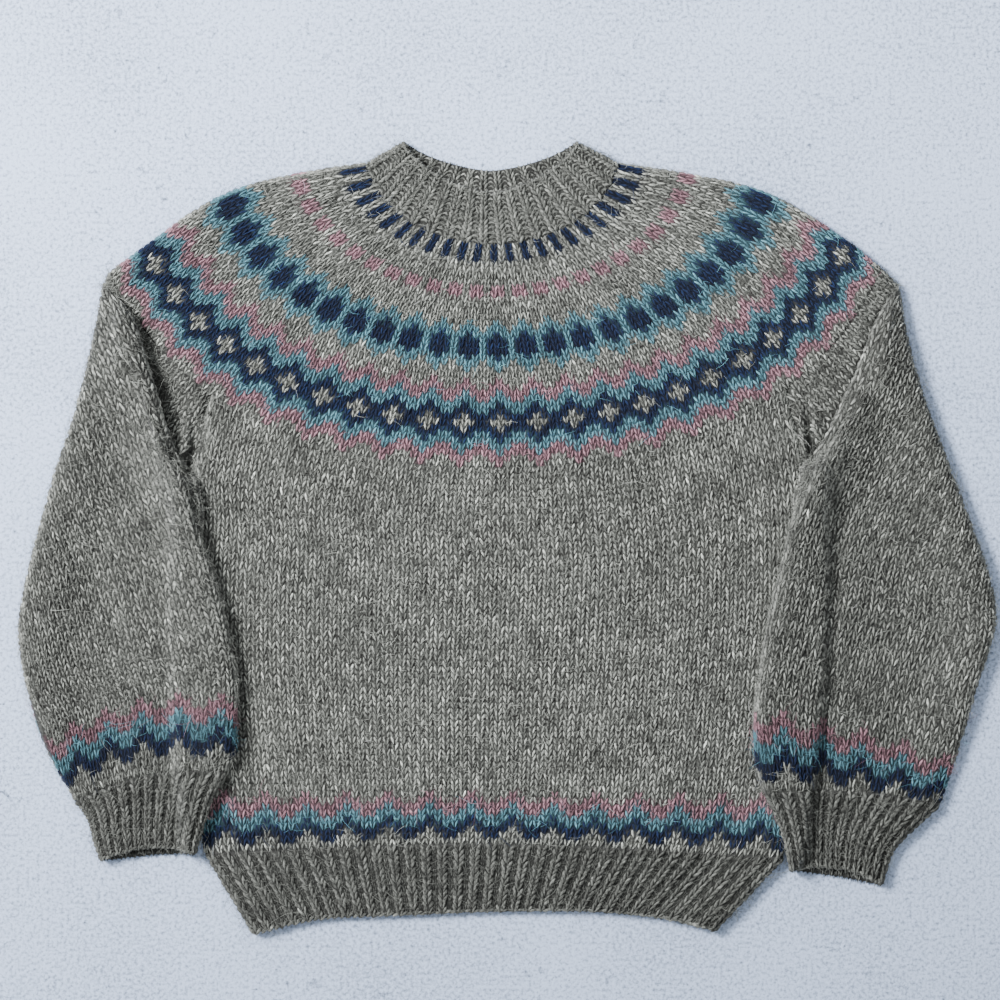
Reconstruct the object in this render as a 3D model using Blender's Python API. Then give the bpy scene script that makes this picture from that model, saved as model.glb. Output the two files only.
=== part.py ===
"""Nordic yoke sweater, knitted in the round and laid flat on its back.

The sweater has no side or shoulder seams. It is eight knitted tubes, each a closed wall of cloth
with an open hollow inside: the body and its ribbed hem, two sleeves and their ribbed cuffs, the
round yoke that joins all three, and the ribbed mock-neck collar. Laid flat, each tube's front lies
on its back, with a round fold down each side. The sleeves are turned down at the shoulder, so each
has a deep pleat running from the shoulder to the armpit, and its lower part lies over the pleat and
over the side of the body.

Axes: X runs across the sweater, Y towards the neck and Z up. The origin is at the middle of the
bounding box, on the surface that the sweater lies on. Right and left are the wearer's.
The tables are in millimetres.
"""

import math
from collections import namedtuple

import bmesh
import bpy
import numpy as np

MM = 0.001

# The cloth
WALL = 3.4  # thickness of the knitted fabric
LAYER_GAP = 1.2  # air between the front and the back
FLAT = 2 * WALL + LAYER_GAP  # height of the two layers lying on each other
FOLD = 11.0  # height of the round fold down each side of a tube
FOLD_REACH = 55.0  # how far the fold's swell runs in from the side
SEAM_GAP = 0.3  # between two pieces that are knitted together
RIB_RISE = 1.3  # how far a knit rib stands out of the wall
RIB_PROFILE = (0.0, 1.0, 1.0, 0.0)  # height of the wall at the four points of each rib

# How finely the tubes are divided
FOLD_STEPS = 4  # segments round each side fold
SHARP_EDGE = math.radians(50)  # edges that turn more than this are not smoothed
ARC_STEPS = 240  # points that measure a round's length
PLAN_STEPS = 60  # points that measure the width of a tube
FRONT_PLACES = (0.0, 0.45)  # places round a ring where its front begins and ends
UNDER_PLACES = (0.50, 0.95)  # the same for its back; the folds lie between

# The yoke's rounds, from the seam with the body and sleeves up to the collar. Each round is half an
# oval, hung below its centre and cut off at the shoulder folds.
# up: share of the yoke's depth; left and right: reach from the centre; front and back: how far the
# round hangs down; square: 2 is an ellipse, more is squarer; folds: height of the round's two ends.
Round = namedtuple(
    "Round",
    "up centre_x centre_y left right front back square fold_left fold_right crown fold",
)
YOKE = (
    Round(0.00, -13.5, 349.0, 363.0, 367.0, 286.0, 286.0, 2.23, 240.0, 243.0, 0.0, 11.0),
    Round(0.19, -13.5, 349.0, 330.0, 337.0, 248.0, 244.0, 2.15, 262.0, 265.0, 0.2, 11.0),
    Round(0.54, -13.5, 349.0, 243.0, 246.0, 177.0, 165.0, 2.05, 311.0, 312.0, 0.8, 11.0),
    Round(0.80, -13.5, 349.0, 175.0, 174.0, 126.0, 110.0, 2.00, 328.0, 328.0, 1.4, 11.0),
    Round(1.00, -13.5, 349.0, 115.0, 114.0, 85.5, 64.0, 2.00, 337.0, 337.0, 2.0, 11.0),
)
COLLAR_RIM = Round(1.00, -16.0, 359.5, 79.0, 79.0, 49.5, 30.0, 1.50, 355.0, 355.0, 2.6, 12.5)

# Where the body ends and the sleeves begin, along the yoke's seam
ARMPIT_X = (-266.5, 250.5)
ARMPIT_GAP = 2.0  # between the fold of a sleeve and the fold of the body

# The sides of the body and its hem, from the hem up
Side = namedtuple("Side", "y left right")
SIDES = (
    Side(-355.0, -229.5, 186.0),
    Side(-322.0, -252.0, 218.0),
    Side(-283.0, -273.0, 248.5),
    Side(-250.0, -275.5, 253.0),
    Side(-164.0, -283.5, 263.0),
    Side(-92.0, -287.0, 268.0),
    Side(-20.0, -286.0, 270.0),
    Side(34.0, -282.5, 268.0),
    Side(61.0, -280.0, 265.5),
    Side(83.0, -277.0, 262.0),
    Side(128.0, -266.5, 250.5),
)

# The two ends of the hem: where the rib begins, and its lower edge
Edge = namedtuple("Edge", "share x y")
HEM_SEAM = (
    Edge(0.0, -273.0, -283.0),
    Edge(0.5, -14.0, -275.0),
    Edge(1.0, 248.5, -287.0),
)
HEM_EDGE = (
    Edge(0.00, -229.5, -355.0),
    Edge(0.14, -173.0, -342.5),
    Edge(0.30, -108.0, -339.0),
    Edge(0.55, 2.0, -335.0),
    Edge(0.78, 96.0, -336.5),
    Edge(0.90, 143.0, -342.0),
    Edge(1.00, 187.0, -352.5),
)

# The sleeves below the pleat, a section in each row: its outer and inner ends, and how far it bows
# towards the neck near its outer end, in its middle and near its inner end. The first row is the
# pleat's fold, the last is the cuff's seam.
Section = namedtuple("Section", "outer_x outer_y inner_x inner_y bow_outer bow bow_inner")
BOW_PLACES = (0.0, 0.12, 0.5, 0.92, 1.0)
SLEEVE_RIGHT = (
    Section(-364.0, 227.0, -286.5, 60.0, 9.5, 6.0, -2.0),
    Section(-376.0, 165.0, -284.5, 40.0, 4.0, 5.0, -2.0),
    Section(-391.0, 107.0, -278.5, 15.0, 2.0, 4.0, -1.0),
    Section(-409.0, 53.0, -270.5, -10.0, 1.0, 3.0, 0.0),
    Section(-426.5, -11.0, -258.0, -50.0, 1.0, 2.0, 1.0),
    Section(-438.5, -67.0, -247.0, -97.0, 1.0, 2.0, 1.0),
    Section(-438.0, -106.0, -242.0, -135.0, 1.5, 3.0, 1.0),
    Section(-427.5, -155.0, -242.0, -168.0, 2.0, 5.0, 1.5),
    Section(-414.0, -193.0, -245.0, -193.0, 3.0, 7.0, 2.0),
    Section(-389.0, -237.0, -251.0, -209.0, 4.0, 10.0, 3.0),
)
SLEEVE_LEFT = (
    Section(350.5, 227.0, 269.5, 68.0, 3.0, -1.5, -2.0),
    Section(362.0, 168.0, 269.0, 50.0, 2.0, 1.0, -2.0),
    Section(375.0, 124.0, 261.0, 33.0, 2.0, 2.0, -1.0),
    Section(391.0, 80.0, 252.5, 12.0, 1.0, 3.0, 0.0),
    Section(411.5, 25.0, 241.0, -34.0, 1.0, 2.0, 1.0),
    Section(431.0, -30.0, 231.0, -79.0, 1.0, 2.0, 1.0),
    Section(438.5, -69.0, 224.5, -117.0, 1.0, 2.0, 1.0),
    Section(433.0, -97.0, 221.5, -138.0, 1.2, 2.5, 1.0),
    Section(420.5, -136.0, 219.0, -167.0, 1.5, 3.0, 1.0),
    Section(407.0, -184.0, 219.5, -197.0, 2.0, 5.0, 1.5),
    Section(389.0, -239.0, 228.5, -229.0, 2.5, 6.0, 2.0),
)
CUFF_RIGHT = (
    SLEEVE_RIGHT[-1],
    Section(-380.0, -247.5, -262.0, -229.0, 4.0, 10.0, 3.0),
    Section(-375.0, -259.0, -268.5, -247.0, 4.0, 9.0, 3.0),
    Section(-371.5, -273.0, -274.0, -264.5, 3.0, 8.0, 2.0),
    Section(-366.0, -289.5, -279.0, -282.0, 3.0, 8.0, 2.0),
)
CUFF_LEFT = (
    SLEEVE_LEFT[-1],
    Section(369.0, -257.0, 237.0, -245.0, 2.0, 5.0, 2.0),
    Section(353.0, -272.0, 243.5, -261.0, 2.0, 6.0, 2.0),
    Section(343.5, -285.5, 248.5, -278.0, 2.0, 6.0, 2.0),
    Section(336.0, -311.0, 252.0, -297.5, 3.0, 8.0, 2.0),
)
CUFF_BACK_DROP = 7.0  # how far the back of a cuff's mouth shows below its front
CUFF_CROWN = 2.4  # how far the front of the mouth lifts off the back

# The pleat at the top of each sleeve: the cloth runs in under the fold, turns back and rises over
# it. forward and tucked are measured from the fold, across it, in units of the pleat's height.
Turn = namedtuple("Turn", "forward tucked up")
PLEAT = (
    Turn(-1.20, -1.20, 0.00),
    Turn(-0.50, -0.10, 0.00),
    Turn(-0.25, 0.42, 0.03),
    Turn(0.00, 0.30, 0.22),
    Turn(0.15, 0.00, 0.50),
    Turn(0.35, 0.12, 0.80),
    Turn(0.65, 0.50, 0.97),
    Turn(1.00, 1.00, 1.00),
)
PLEAT_HEIGHT = 9.0
PLEAT_START = 0.35  # share of the fold over which the pleat grows from the shoulder
PLEAT_END = 0.70  # share of the fold where it begins to sink towards the armpit
PLEAT_LEFT_AT_END = 0.35
PLEAT_LAY = 70.0  # how far the folded layers under the sleeve reach from the fold
PLEAT_ROOM = 0.4  # share of the way back to the yoke's seam that the pleat may take up
UPPER_SLEEVE = (0.0, 0.3)  # where the sections above the pleat stand, as shares of the way

# Where a sleeve lies on the side of the body
CLIMB = (24.0, 9.0)  # where the slope up to the body's side starts and ends, outside that side
LAY_CLEARANCE = 0.7
BESIDE_BODY = (64.0, 76.0)  # above these, right and left, a sleeve lies beside the body, on the floor
ON_BODY = (46.0, 58.0)  # below these it lies on the body

# How each tube is divided: front and under are places across the two sides of the outer wall, from
# 0 at one fold to 1 at the other; inner is the number of points across each side of the inner wall;
# seams says which ends meet another piece, first and last.
Piece = namedtuple("Piece", "name stations front under inner ribs seams")
HEM_RIBS = 35
COLLAR_RIBS = 18
CUFF_RIBS = 11


def eased(share):
    """0 to 1 with no corner at either end."""
    share = np.clip(share, 0.0, 1.0)
    return share * share * (3.0 - 2.0 * share)


def blend(start, end, share):
    return start + (end - start) * share


def through(places, values, wanted):
    """A smooth curve through the rows of a table: cubic spans whose slopes come from their neighbours."""
    places, values, wanted = (np.asarray(a, float) for a in (places, values, wanted))
    slopes = np.gradient(values, places)
    span = np.clip(np.searchsorted(places, wanted) - 1, 0, len(places) - 2)
    width = places[span + 1] - places[span]
    t = np.clip((wanted - places[span]) / width, 0.0, 1.0)
    start = values[span] * (1 + 2 * t) * (1 - t) ** 2 + slopes[span] * width * t * (1 - t) ** 2
    end = values[span + 1] * t * t * (3 - 2 * t) - slopes[span + 1] * width * t * t * (1 - t)
    return start + end


def table(rows, column):
    return np.array([getattr(row, column) for row in rows])


def across(count):
    return np.linspace(0.0, 1.0, count)


def line_length(line):
    return float(np.hypot(*np.diff(line, axis=0).T).sum())


# ---------------------------------------------------------------------------
# Plans: where a share across a tube lies, seen from above


def yoke_round(up):
    """The row of the yoke's table at any height."""
    steps = table(YOKE, "up")
    return Round(up, *(float(through(steps, table(YOKE, c), up)) for c in Round._fields[1:]))


def oval(ring, hang, outset, share):
    """Points at even lengths along a round: x = -a cos(t)^(2/n), y = -b sin(t)^(2/n)."""
    depth = hang + outset
    power = 2.0 / ring.square
    ends = [
        math.asin(min(1.0, max(0.0, (ring.centre_y - fold) / depth)) ** (1.0 / power))
        for fold in (ring.fold_left, ring.fold_right)
    ]
    turn = np.linspace(ends[0], math.pi - ends[1], ARC_STEPS)
    reach = np.where(turn < math.pi / 2, ring.left, ring.right) + outset
    x = ring.centre_x - reach * np.sign(np.cos(turn)) * np.abs(np.cos(turn)) ** power
    y = ring.centre_y - depth * np.sin(turn) ** power
    length = np.concatenate([[0.0], np.cumsum(np.hypot(np.diff(x), np.diff(y)))])
    wanted = np.asarray(share) * length[-1]
    return np.stack([np.interp(wanted, length, x), np.interp(wanted, length, y)], -1)


def round_plan(ring, outset=0.0):
    """Plan of a whole round: its front and its back hang by different amounts."""

    def plan(share, under):
        front = oval(ring, ring.front, outset, share)
        back = oval(ring, ring.back, outset, share)
        return blend(front, back, under[..., None])

    return plan


def share_at(ring, x):
    """Share along the front of a round at which it passes a place across the sweater."""
    shares = np.linspace(0.0, 1.0, ARC_STEPS)
    return float(np.interp(x, oval(ring, ring.front, 0.0, shares)[:, 0], shares))


SEAM_ROUND = yoke_round(0.0)
SEAM_LENGTH = line_length(oval(SEAM_ROUND, SEAM_ROUND.front, 0.0, np.linspace(0.0, 1.0, ARC_STEPS)))
ARMPIT_SHARE = [share_at(SEAM_ROUND, x) for x in ARMPIT_X]
SLEEVE_SHARE = [
    ARMPIT_SHARE[0] - ARMPIT_GAP / SEAM_LENGTH,
    ARMPIT_SHARE[1] + ARMPIT_GAP / SEAM_LENGTH,
]


BODY_FRONT, BODY_UNDER = across(24), across(22)
SLEEVE_FRONT, SLEEVE_UNDER = across(16), across(14)


def seam_places(body, sleeve):
    """Places across the yoke that match the points of the body and of both sleeves."""
    spans = (
        (0.0, SLEEVE_SHARE[0], sleeve, (FOLD, FLAT)),
        (*ARMPIT_SHARE, body, (FLAT, FLAT)),
        (SLEEVE_SHARE[1], 1.0, sleeve, (FLAT, FOLD)),
    )
    found = []
    for start, end, places, folds in spans:
        width = (end - start) * SEAM_LENGTH
        flat = folds[0] / 2 + (width - sum(folds) / 2) * places
        corners = ([0.0] if start > 0.0 else [], [width] if end < 1.0 else [])
        found.append(start + np.concatenate([corners[0], flat, corners[1]]) / SEAM_LENGTH)
    found = np.concatenate(found)
    return (found - found[0]) / (found[-1] - found[0])


def seam_arc(start, end, share):
    """Part of the yoke's seam, moved out by the gap that the pieces keep."""
    return oval(SEAM_ROUND, SEAM_ROUND.front, SEAM_GAP, blend(start, end, np.asarray(share)))


def side_x(y):
    """The two sides of the body and hem at a height."""
    steps = table(SIDES, "y")
    return through(steps, table(SIDES, "left"), y), through(steps, table(SIDES, "right"), y)


def edge_line(rows, share):
    steps = table(rows, "share")
    x, y = (through(steps, table(rows, column), share) for column in ("x", "y"))
    return np.stack([x, y], -1)


def body_plan(up):
    """A patch between four edges: the hem's seam, the yoke's seam and the two sides."""

    def plan(share, under):
        low, high = edge_line(HEM_SEAM, share), seam_arc(*ARMPIT_SHARE, share)
        low_ends = [edge_line(HEM_SEAM, end) for end in (0.0, 1.0)]
        high_ends = [seam_arc(*ARMPIT_SHARE, end) for end in (0.0, 1.0)]
        sides = []
        for k in (0, 1):
            y = blend(low_ends[k][1], high_ends[k][1], up)
            sides.append(np.array([float(side_x(y)[k]), y]))
        way = share[..., None]
        straight = blend(blend(*low_ends, way), blend(*high_ends, way), up)
        return blend(low, high, up) + blend(*sides, way) - straight

    return plan


def hem_plan(down):
    def plan(share, under):
        seam = edge_line(HEM_SEAM, share) - np.array([0.0, SEAM_GAP])
        return blend(seam, edge_line(HEM_EDGE, share), down)

    return plan


def section_plan(row, drop=0.0):
    """A straight section across a sleeve or cuff, bowed in the middle. drop lowers its back."""

    def plan(share, under):
        outer = np.array([row.outer_x, row.outer_y])
        inner = np.array([row.inner_x, row.inner_y])
        along = (inner - outer) / np.hypot(*(inner - outer))
        rise = np.array([-along[1], along[0]]) * (1.0 if along[0] > 0 else -1.0)
        bow = through(BOW_PLACES, (0.0, row.bow_outer, row.bow, row.bow_inner, 0.0), share)
        bow = bow - drop * 4.0 * share * (1.0 - share) * under
        return blend(outer, inner, share[..., None]) + bow[..., None] * rise

    return plan


# ---------------------------------------------------------------------------
# Heights


def body_height(inset):
    """Height of the body's two layers, by the distance in from its side."""
    return FLAT + (FOLD - FLAT) * (1.0 - eased(inset / FOLD_REACH))


def resting_height(place):
    """What a sleeve lies on: the floor, or the side of the body where it crosses it."""
    x, y = place[..., 0], place[..., 1]
    left, right = side_x(y)
    inset = np.minimum(x - left, right - x)
    climb = eased((inset + CLIMB[0]) / (CLIMB[0] - CLIMB[1]))
    beside, on_body = (np.where(x < 0, *pair) for pair in (BESIDE_BODY, ON_BODY))
    below_armpit = eased((beside - y) / (beside - on_body))
    return (body_height(np.maximum(inset, 0.0)) + LAY_CLEARANCE) * climb * below_armpit


def on_floor(place):
    return np.zeros(place.shape[:-1])


# ---------------------------------------------------------------------------
# Tubes

# plan: share and under -> x, y; folds: heights at the two ends; crown: extra height in the middle
# rest: what it lies on; shape: extra movement of the wall's outer points
Station = namedtuple("Station", "plan folds crown rest shape")


def ring_pattern(width, folds, front, under, inset):
    """Points round one section of a flattened tube: the front, a fold, the back, a fold.

    Gives each point's share across, its side (1 on the front, -1 on the back, between them round
    the folds) and its place round the ring, by which the two walls are joined at the ends.
    """
    first, last = folds[0] / 2, folds[1] / 2
    turn = np.linspace(math.pi / 2, -math.pi / 2, FOLD_STEPS + 1)[1:-1]
    run = width - first - last
    front = first + run * front
    back = first + run * under[::-1]
    far = width - last + (last - inset) * np.cos(turn)
    near = first - (first - inset) * np.cos(turn)
    share = np.concatenate([front, far, back, near]) / width
    side = np.concatenate([np.ones(len(front)), np.sin(turn), -np.ones(len(back)), -np.sin(turn)])
    half_way = (1.0 - np.sin(turn)) / 2
    place = np.concatenate(
        [
            blend(*FRONT_PLACES, front / width),
            blend(FRONT_PLACES[1], UNDER_PLACES[0], half_way),
            blend(*UNDER_PLACES[::-1], back / width),
            blend(UNDER_PLACES[1], 1.0, half_way),
        ]
    )
    return share, side, place


def ring_points(station, piece, inset, front, under):
    """The wall's outer points at one station, or its inner points where inset is the wall."""
    width = line_length(station.plan(across(PLAN_STEPS), np.zeros(PLAN_STEPS)))
    share, side, place = ring_pattern(width, station.folds, front, under, inset)
    spot = station.plan(share, (1.0 - side) / 2)
    swell = [
        (fold - FLAT) * (1.0 - eased((reach - fold / 2) / FOLD_REACH))
        for fold, reach in zip(station.folds, (share * width, (1.0 - share) * width))
    ]
    height = FLAT + swell[0] + swell[1] + station.crown * 4.0 * share * (1.0 - share)
    z = station.rest(spot) + height / 2 + (height / 2 - inset) * side
    points = np.column_stack([spot, z])
    if not inset:
        if piece.ribs:
            points[: len(front), 2] += np.tile(RIB_PROFILE, piece.ribs) * RIB_RISE
        if station.shape:
            points += station.shape(share, side, spot)
    return points, place


Ring = namedtuple("Ring", "index place")


def zipped(first, second, flip):
    """Triangles between two rings that may differ in number: each next one has the shorter step."""
    a, b = (np.append(ring.place, ring.place[0] + 1.0) for ring in (first, second))
    faces = []
    i = j = 0
    while i < len(first.index) or j < len(second.index):
        here, there = first.index[i % len(first.index)], second.index[j % len(second.index)]
        second_done = j == len(second.index)
        if second_done or (i < len(first.index) and a[i + 1] - b[j] <= b[j + 1] - a[i]):
            i += 1
            face = (here, first.index[i % len(first.index)], there)
        else:
            j += 1
            face = (here, second.index[j % len(second.index)], there)
        faces.append(face[::-1] if flip else face)
    return faces


def tube_mesh(piece):
    """A wall of cloth through the piece's stations, closed at its two ends."""
    points, walls = [], []
    fine, coarse = (piece.front, piece.under), (across(piece.inner), across(piece.inner))
    last = len(piece.stations) - 1
    for inset in (0.0, WALL):
        rings = []
        for index, station in enumerate(piece.stations):
            at_seam = (index == 0 and piece.seams[0]) or (index == last and piece.seams[1])
            places = fine if at_seam or inset == 0.0 else coarse
            found, place = ring_points(station, piece, inset, *places)
            start = sum(map(len, points))
            rings.append(Ring(list(range(start, start + len(found))), place))
            points.append(found)
        walls.append(rings)
    outer, inner = walls
    faces = zipped(outer[0], inner[0], True) + zipped(outer[-1], inner[-1], False)
    for rings, flip in ((outer, False), (inner, True)):
        for above, below in zip(rings, rings[1:]):
            faces += zipped(above, below, flip)
    mesh = bpy.data.meshes.new(piece.name)
    mesh.from_pydata((np.concatenate(points) * MM).tolist(), [], faces)
    shape = bmesh.new()
    shape.from_mesh(mesh)
    bmesh.ops.recalc_face_normals(shape, faces=shape.faces[:])
    shape.to_mesh(mesh)
    shape.free()
    mesh.shade_smooth()
    mesh.set_sharp_from_angle(angle=SHARP_EDGE)
    return mesh


# ---------------------------------------------------------------------------
# The pieces


def rib_places(ribs):
    return across(ribs * len(RIB_PROFILE))


def body_piece():
    """The body, from the hem's seam up to the yoke. Its folds flatten out at the armpits."""
    steps = (0.0, 0.14, 0.3, 0.46, 0.62, 0.76, 0.88, 0.95, 1.0)
    stations = []
    for up in steps:
        fold = blend(FOLD, FLAT, eased((up - 0.8) / 0.2))
        stations.append(Station(body_plan(up), (fold, fold), 0.0, on_floor, None))
    return Piece("body", stations, BODY_FRONT, BODY_UNDER, 14, 0, (True, True))


def hem_piece():
    stations = [Station(hem_plan(down), (FOLD, FOLD), 0.0, on_floor, None) for down in (0.0, 0.5, 1.0)]
    return Piece("hem_rib", stations, rib_places(HEM_RIBS), across(30), 28, HEM_RIBS, (True, False))


def yoke_piece():
    """The round yoke, from the seam with the body and sleeves up to the collar."""
    stations = []
    for up in (0.0, 0.1, 0.25, 0.42, 0.6, 0.8, 1.0):
        ring = yoke_round(up)
        stations.append(Station(round_plan(ring), (ring.fold, ring.fold), ring.crown, on_floor, None))
    front, under = seam_places(BODY_FRONT, SLEEVE_FRONT), seam_places(BODY_UNDER, SLEEVE_UNDER)
    return Piece("yoke", stations, front, under, 22, 0, (True, True))


def collar_piece():
    """The mock neck: its rounds narrow to the rim, where the back stands above the front."""
    base = YOKE[-1]
    stations = []
    for up in (0.0, 0.35, 0.7, 1.0):
        ring = Round(*(blend(a, b, up) for a, b in zip(base, COLLAR_RIM)))
        gap = -SEAM_GAP if up == 0.0 else 0.0
        stations.append(Station(round_plan(ring, gap), (ring.fold, ring.fold), ring.crown, on_floor, None))
    return Piece("collar", stations, rib_places(COLLAR_RIBS), across(26), 20, COLLAR_RIBS, (True, False))


def pleat_height(share):
    """The pleat grows from nothing at the shoulder and sinks a little towards the armpit."""
    sunk = 1.0 - (1.0 - PLEAT_LEFT_AT_END) * eased((share - PLEAT_END) / (1.0 - PLEAT_END))
    return PLEAT_HEIGHT * eased(share / PLEAT_START) * sunk


def sleeve_piece(name, rows, armpit):
    """A sleeve: the part above its pleat, the pleat, and the part below that lies over it."""
    fold_line = section_plan(rows[0])
    sideways = 1.0 if rows[0].inner_x > rows[0].outer_x else -1.0
    away = np.array([rows[0].inner_y - rows[0].outer_y, rows[0].outer_x - rows[0].inner_x])
    away = away / np.hypot(*away) * sideways
    shoulder = 0.0 if sideways > 0 else 1.0

    def upper(way):
        def plan(share, under):
            return blend(seam_arc(shoulder, armpit, share), fold_line(share, under), way)

        return plan

    def from_fold(amount, share):
        """A distance across the fold, kept small where the yoke's seam is near."""
        reach = 1.0 + pleat_height(share)
        if amount < 0.0:
            wedge = fold_line(share, np.zeros(share.shape)) - seam_arc(shoulder, armpit, share)
            reach = np.clip(PLEAT_ROOM * (wedge @ away), 0.1, reach)
        return amount * reach

    def turned(step):
        def plan(share, under):
            return fold_line(share, under) + from_fold(step.forward, share)[..., None] * away

        def shape(share, side, spot):
            front = np.clip(side, 0.0, 1.0) ** 4
            middle = eased(share / 0.2) * eased((1.0 - share) / 0.15)
            tuck = (from_fold(step.tucked, share) - from_fold(step.forward, share)) * middle * front
            lift = step.up * pleat_height(share) * np.clip(side, 0.0, 1.0)
            return np.column_stack([tuck[:, None] * away, lift])

        return plan, shape

    def layered(share, side, spot):
        """The folded layers under the sleeve thin out away from the pleat."""
        line = fold_line(share, np.zeros(len(share)))
        far = np.hypot(*(spot - line).T)
        lift = pleat_height(share) * (1.0 - eased((far - PLEAT_HEIGHT) / PLEAT_LAY)) * np.clip(side, 0, 1)
        return np.column_stack([np.zeros((len(share), 2)), lift])

    stations = []
    for way in UPPER_SLEEVE:
        inner_fold = blend(FLAT, FOLD, eased(way))
        stations.append(Station(upper(way), (FOLD, inner_fold), 0.0, resting_height, None))
    for step in PLEAT:
        plan, shape = turned(step)
        stations.append(Station(plan, (FOLD, FOLD), 0.0, resting_height, shape))
    for row in rows[1:]:
        stations.append(Station(section_plan(row), (FOLD, FOLD), 1.0, resting_height, layered))
    return Piece(name, stations, SLEEVE_FRONT, SLEEVE_UNDER, 10, 0, (True, True))


def cuff_piece(name, rows):
    """A ribbed cuff, drawn in below the sleeve. Its mouth gapes a little, so the back edge shows."""
    stations = []
    for index, row in enumerate(rows):
        share = index / (len(rows) - 1)
        plan = section_plan(row, CUFF_BACK_DROP * share)
        if index == 0:
            plan = below(plan)
        crown = blend(1.0, CUFF_CROWN, share)
        stations.append(Station(plan, (FOLD, FOLD), crown, resting_height, None))
    return Piece(name, stations, rib_places(CUFF_RIBS), across(14), 10, CUFF_RIBS, (True, False))


def below(plan):
    """A plan moved down by the gap that the pieces keep."""
    return lambda share, under: plan(share, under) - np.array([0.0, SEAM_GAP])


# ---------------------------------------------------------------------------
# Objects


def cloth(name, colour):
    material = bpy.data.materials.new(name + "_wool")
    material.use_nodes = True
    shader = material.node_tree.nodes["Principled BSDF"]
    shader.inputs["Base Color"].default_value = (*colour, 1.0)
    shader.inputs["Roughness"].default_value = 0.95
    shader.inputs["Metallic"].default_value = 0.0
    return material


GREY = (0.23, 0.22, 0.19)
COLOURS = {"yoke": (0.12, 0.20, 0.26), "hem_rib": (0.21, 0.20, 0.17), "collar": (0.20, 0.19, 0.16)}


def main():
    for old in list(bpy.data.objects):
        bpy.data.objects.remove(old)
    sweater = bpy.data.objects.new("sweater", None)
    bpy.context.scene.collection.objects.link(sweater)
    pieces = (
        body_piece(),
        hem_piece(),
        yoke_piece(),
        collar_piece(),
        sleeve_piece("sleeve_right", SLEEVE_RIGHT, SLEEVE_SHARE[0]),
        sleeve_piece("sleeve_left", SLEEVE_LEFT, SLEEVE_SHARE[1]),
        cuff_piece("cuff_right", CUFF_RIGHT),
        cuff_piece("cuff_left", CUFF_LEFT),
    )
    for piece in pieces:
        tube = bpy.data.objects.new(piece.name, tube_mesh(piece))
        tube.data.materials.append(cloth(piece.name, COLOURS.get(piece.name, GREY)))
        tube.parent = sweater
        bpy.context.scene.collection.objects.link(tube)


main()
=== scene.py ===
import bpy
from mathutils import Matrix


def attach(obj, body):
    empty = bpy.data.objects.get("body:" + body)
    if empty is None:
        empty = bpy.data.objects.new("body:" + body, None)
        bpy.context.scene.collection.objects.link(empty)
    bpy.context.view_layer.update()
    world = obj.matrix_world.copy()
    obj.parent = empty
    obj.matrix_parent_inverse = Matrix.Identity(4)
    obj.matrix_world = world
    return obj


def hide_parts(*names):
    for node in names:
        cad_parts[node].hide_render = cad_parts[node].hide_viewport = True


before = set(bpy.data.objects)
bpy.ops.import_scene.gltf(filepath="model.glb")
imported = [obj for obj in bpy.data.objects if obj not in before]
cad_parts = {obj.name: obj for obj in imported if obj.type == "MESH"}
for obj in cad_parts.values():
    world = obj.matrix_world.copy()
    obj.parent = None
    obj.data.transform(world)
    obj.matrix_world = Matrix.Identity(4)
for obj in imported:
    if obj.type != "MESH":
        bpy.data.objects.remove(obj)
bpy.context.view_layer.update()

import math
from collections import namedtuple

import bpy
import mathutils
import numpy as np

bl_info = {
    "name": "Yoke sweater",
    "version": (1, 0, 0),
    "blender": (4, 5, 0),
    "location": "3D View > Sidebar > Sweater",
    "description": "Knits a round-yoke sweater stitch by stitch on the walls of its solids",
    "category": "Object",
}

MM = 0.001
TINY = 1e-9  # stands in for a length of 0 where one is divided by


def lines_of(kind, *lines):
    """A table: lines of numbers, named by their kind of row."""
    return tuple(kind(*line) for line in lines)


# ---------------------------------------------------------------------------
# The cloth, in millimetres. X runs across the sweater, Y towards the neck and Z up.

WALL = 3.4  # thickness of the knitted cloth
LAYER_GAP = 1.2  # air between the front and the back of a tube
FLAT = 2 * WALL + LAYER_GAP  # height of a tube between its side folds
FOLD = 11.0  # height of its side folds
FOLD_REACH = 55.0  # how far inwards a fold's extra height fades away
SEAM_GAP = 0.3  # between a piece and the next
RIB_RISE = 1.3  # how far the knit columns of a rib stand out
STITCH_DEPTH = 1.4  # the ground of the cloth lies this far below the crests of its stitches
INNER_INSET = 0.2  # the stitches on the inside of a mouth are rooted this deep in its wall

# A round of the yoke at a share of the way up it: its middle, how far it reaches to both sides, how
# far its front and its back hang below the middle, how square it is (2 is an ellipse), the y of its
# side folds, how far its middle swells and how high its folds are.
Round = namedtuple(
    "Round",
    "up centre_x centre_y left right front back square fold_left fold_right crown fold",
)
ROUND_POINTS = 400  # points worked out along a round, before they are spaced evenly
YOKE = (
    Round(0.00, -13.5, 349.0, 363.0, 367.0, 286.0, 286.0, 2.23, 240.0, 243.0, 0.0, 11.0),
    Round(0.19, -13.5, 349.0, 330.0, 337.0, 248.0, 244.0, 2.15, 262.0, 265.0, 0.2, 11.0),
    Round(0.54, -13.5, 349.0, 243.0, 246.0, 177.0, 165.0, 2.05, 311.0, 312.0, 0.8, 11.0),
    Round(0.80, -13.5, 349.0, 175.0, 174.0, 126.0, 110.0, 2.00, 328.0, 328.0, 1.4, 11.0),
    Round(1.00, -13.5, 349.0, 115.0, 114.0, 85.5, 64.0, 2.00, 337.0, 337.0, 2.0, 11.0),
)
COLLAR_RIM = Round(1.00, -16.0, 359.5, 79.0, 79.0, 49.5, 30.0, 1.50, 355.0, 355.0, 2.6, 12.5)
ARMPIT_X = (-266.5, 250.5)  # where the body's sides meet the yoke
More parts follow.
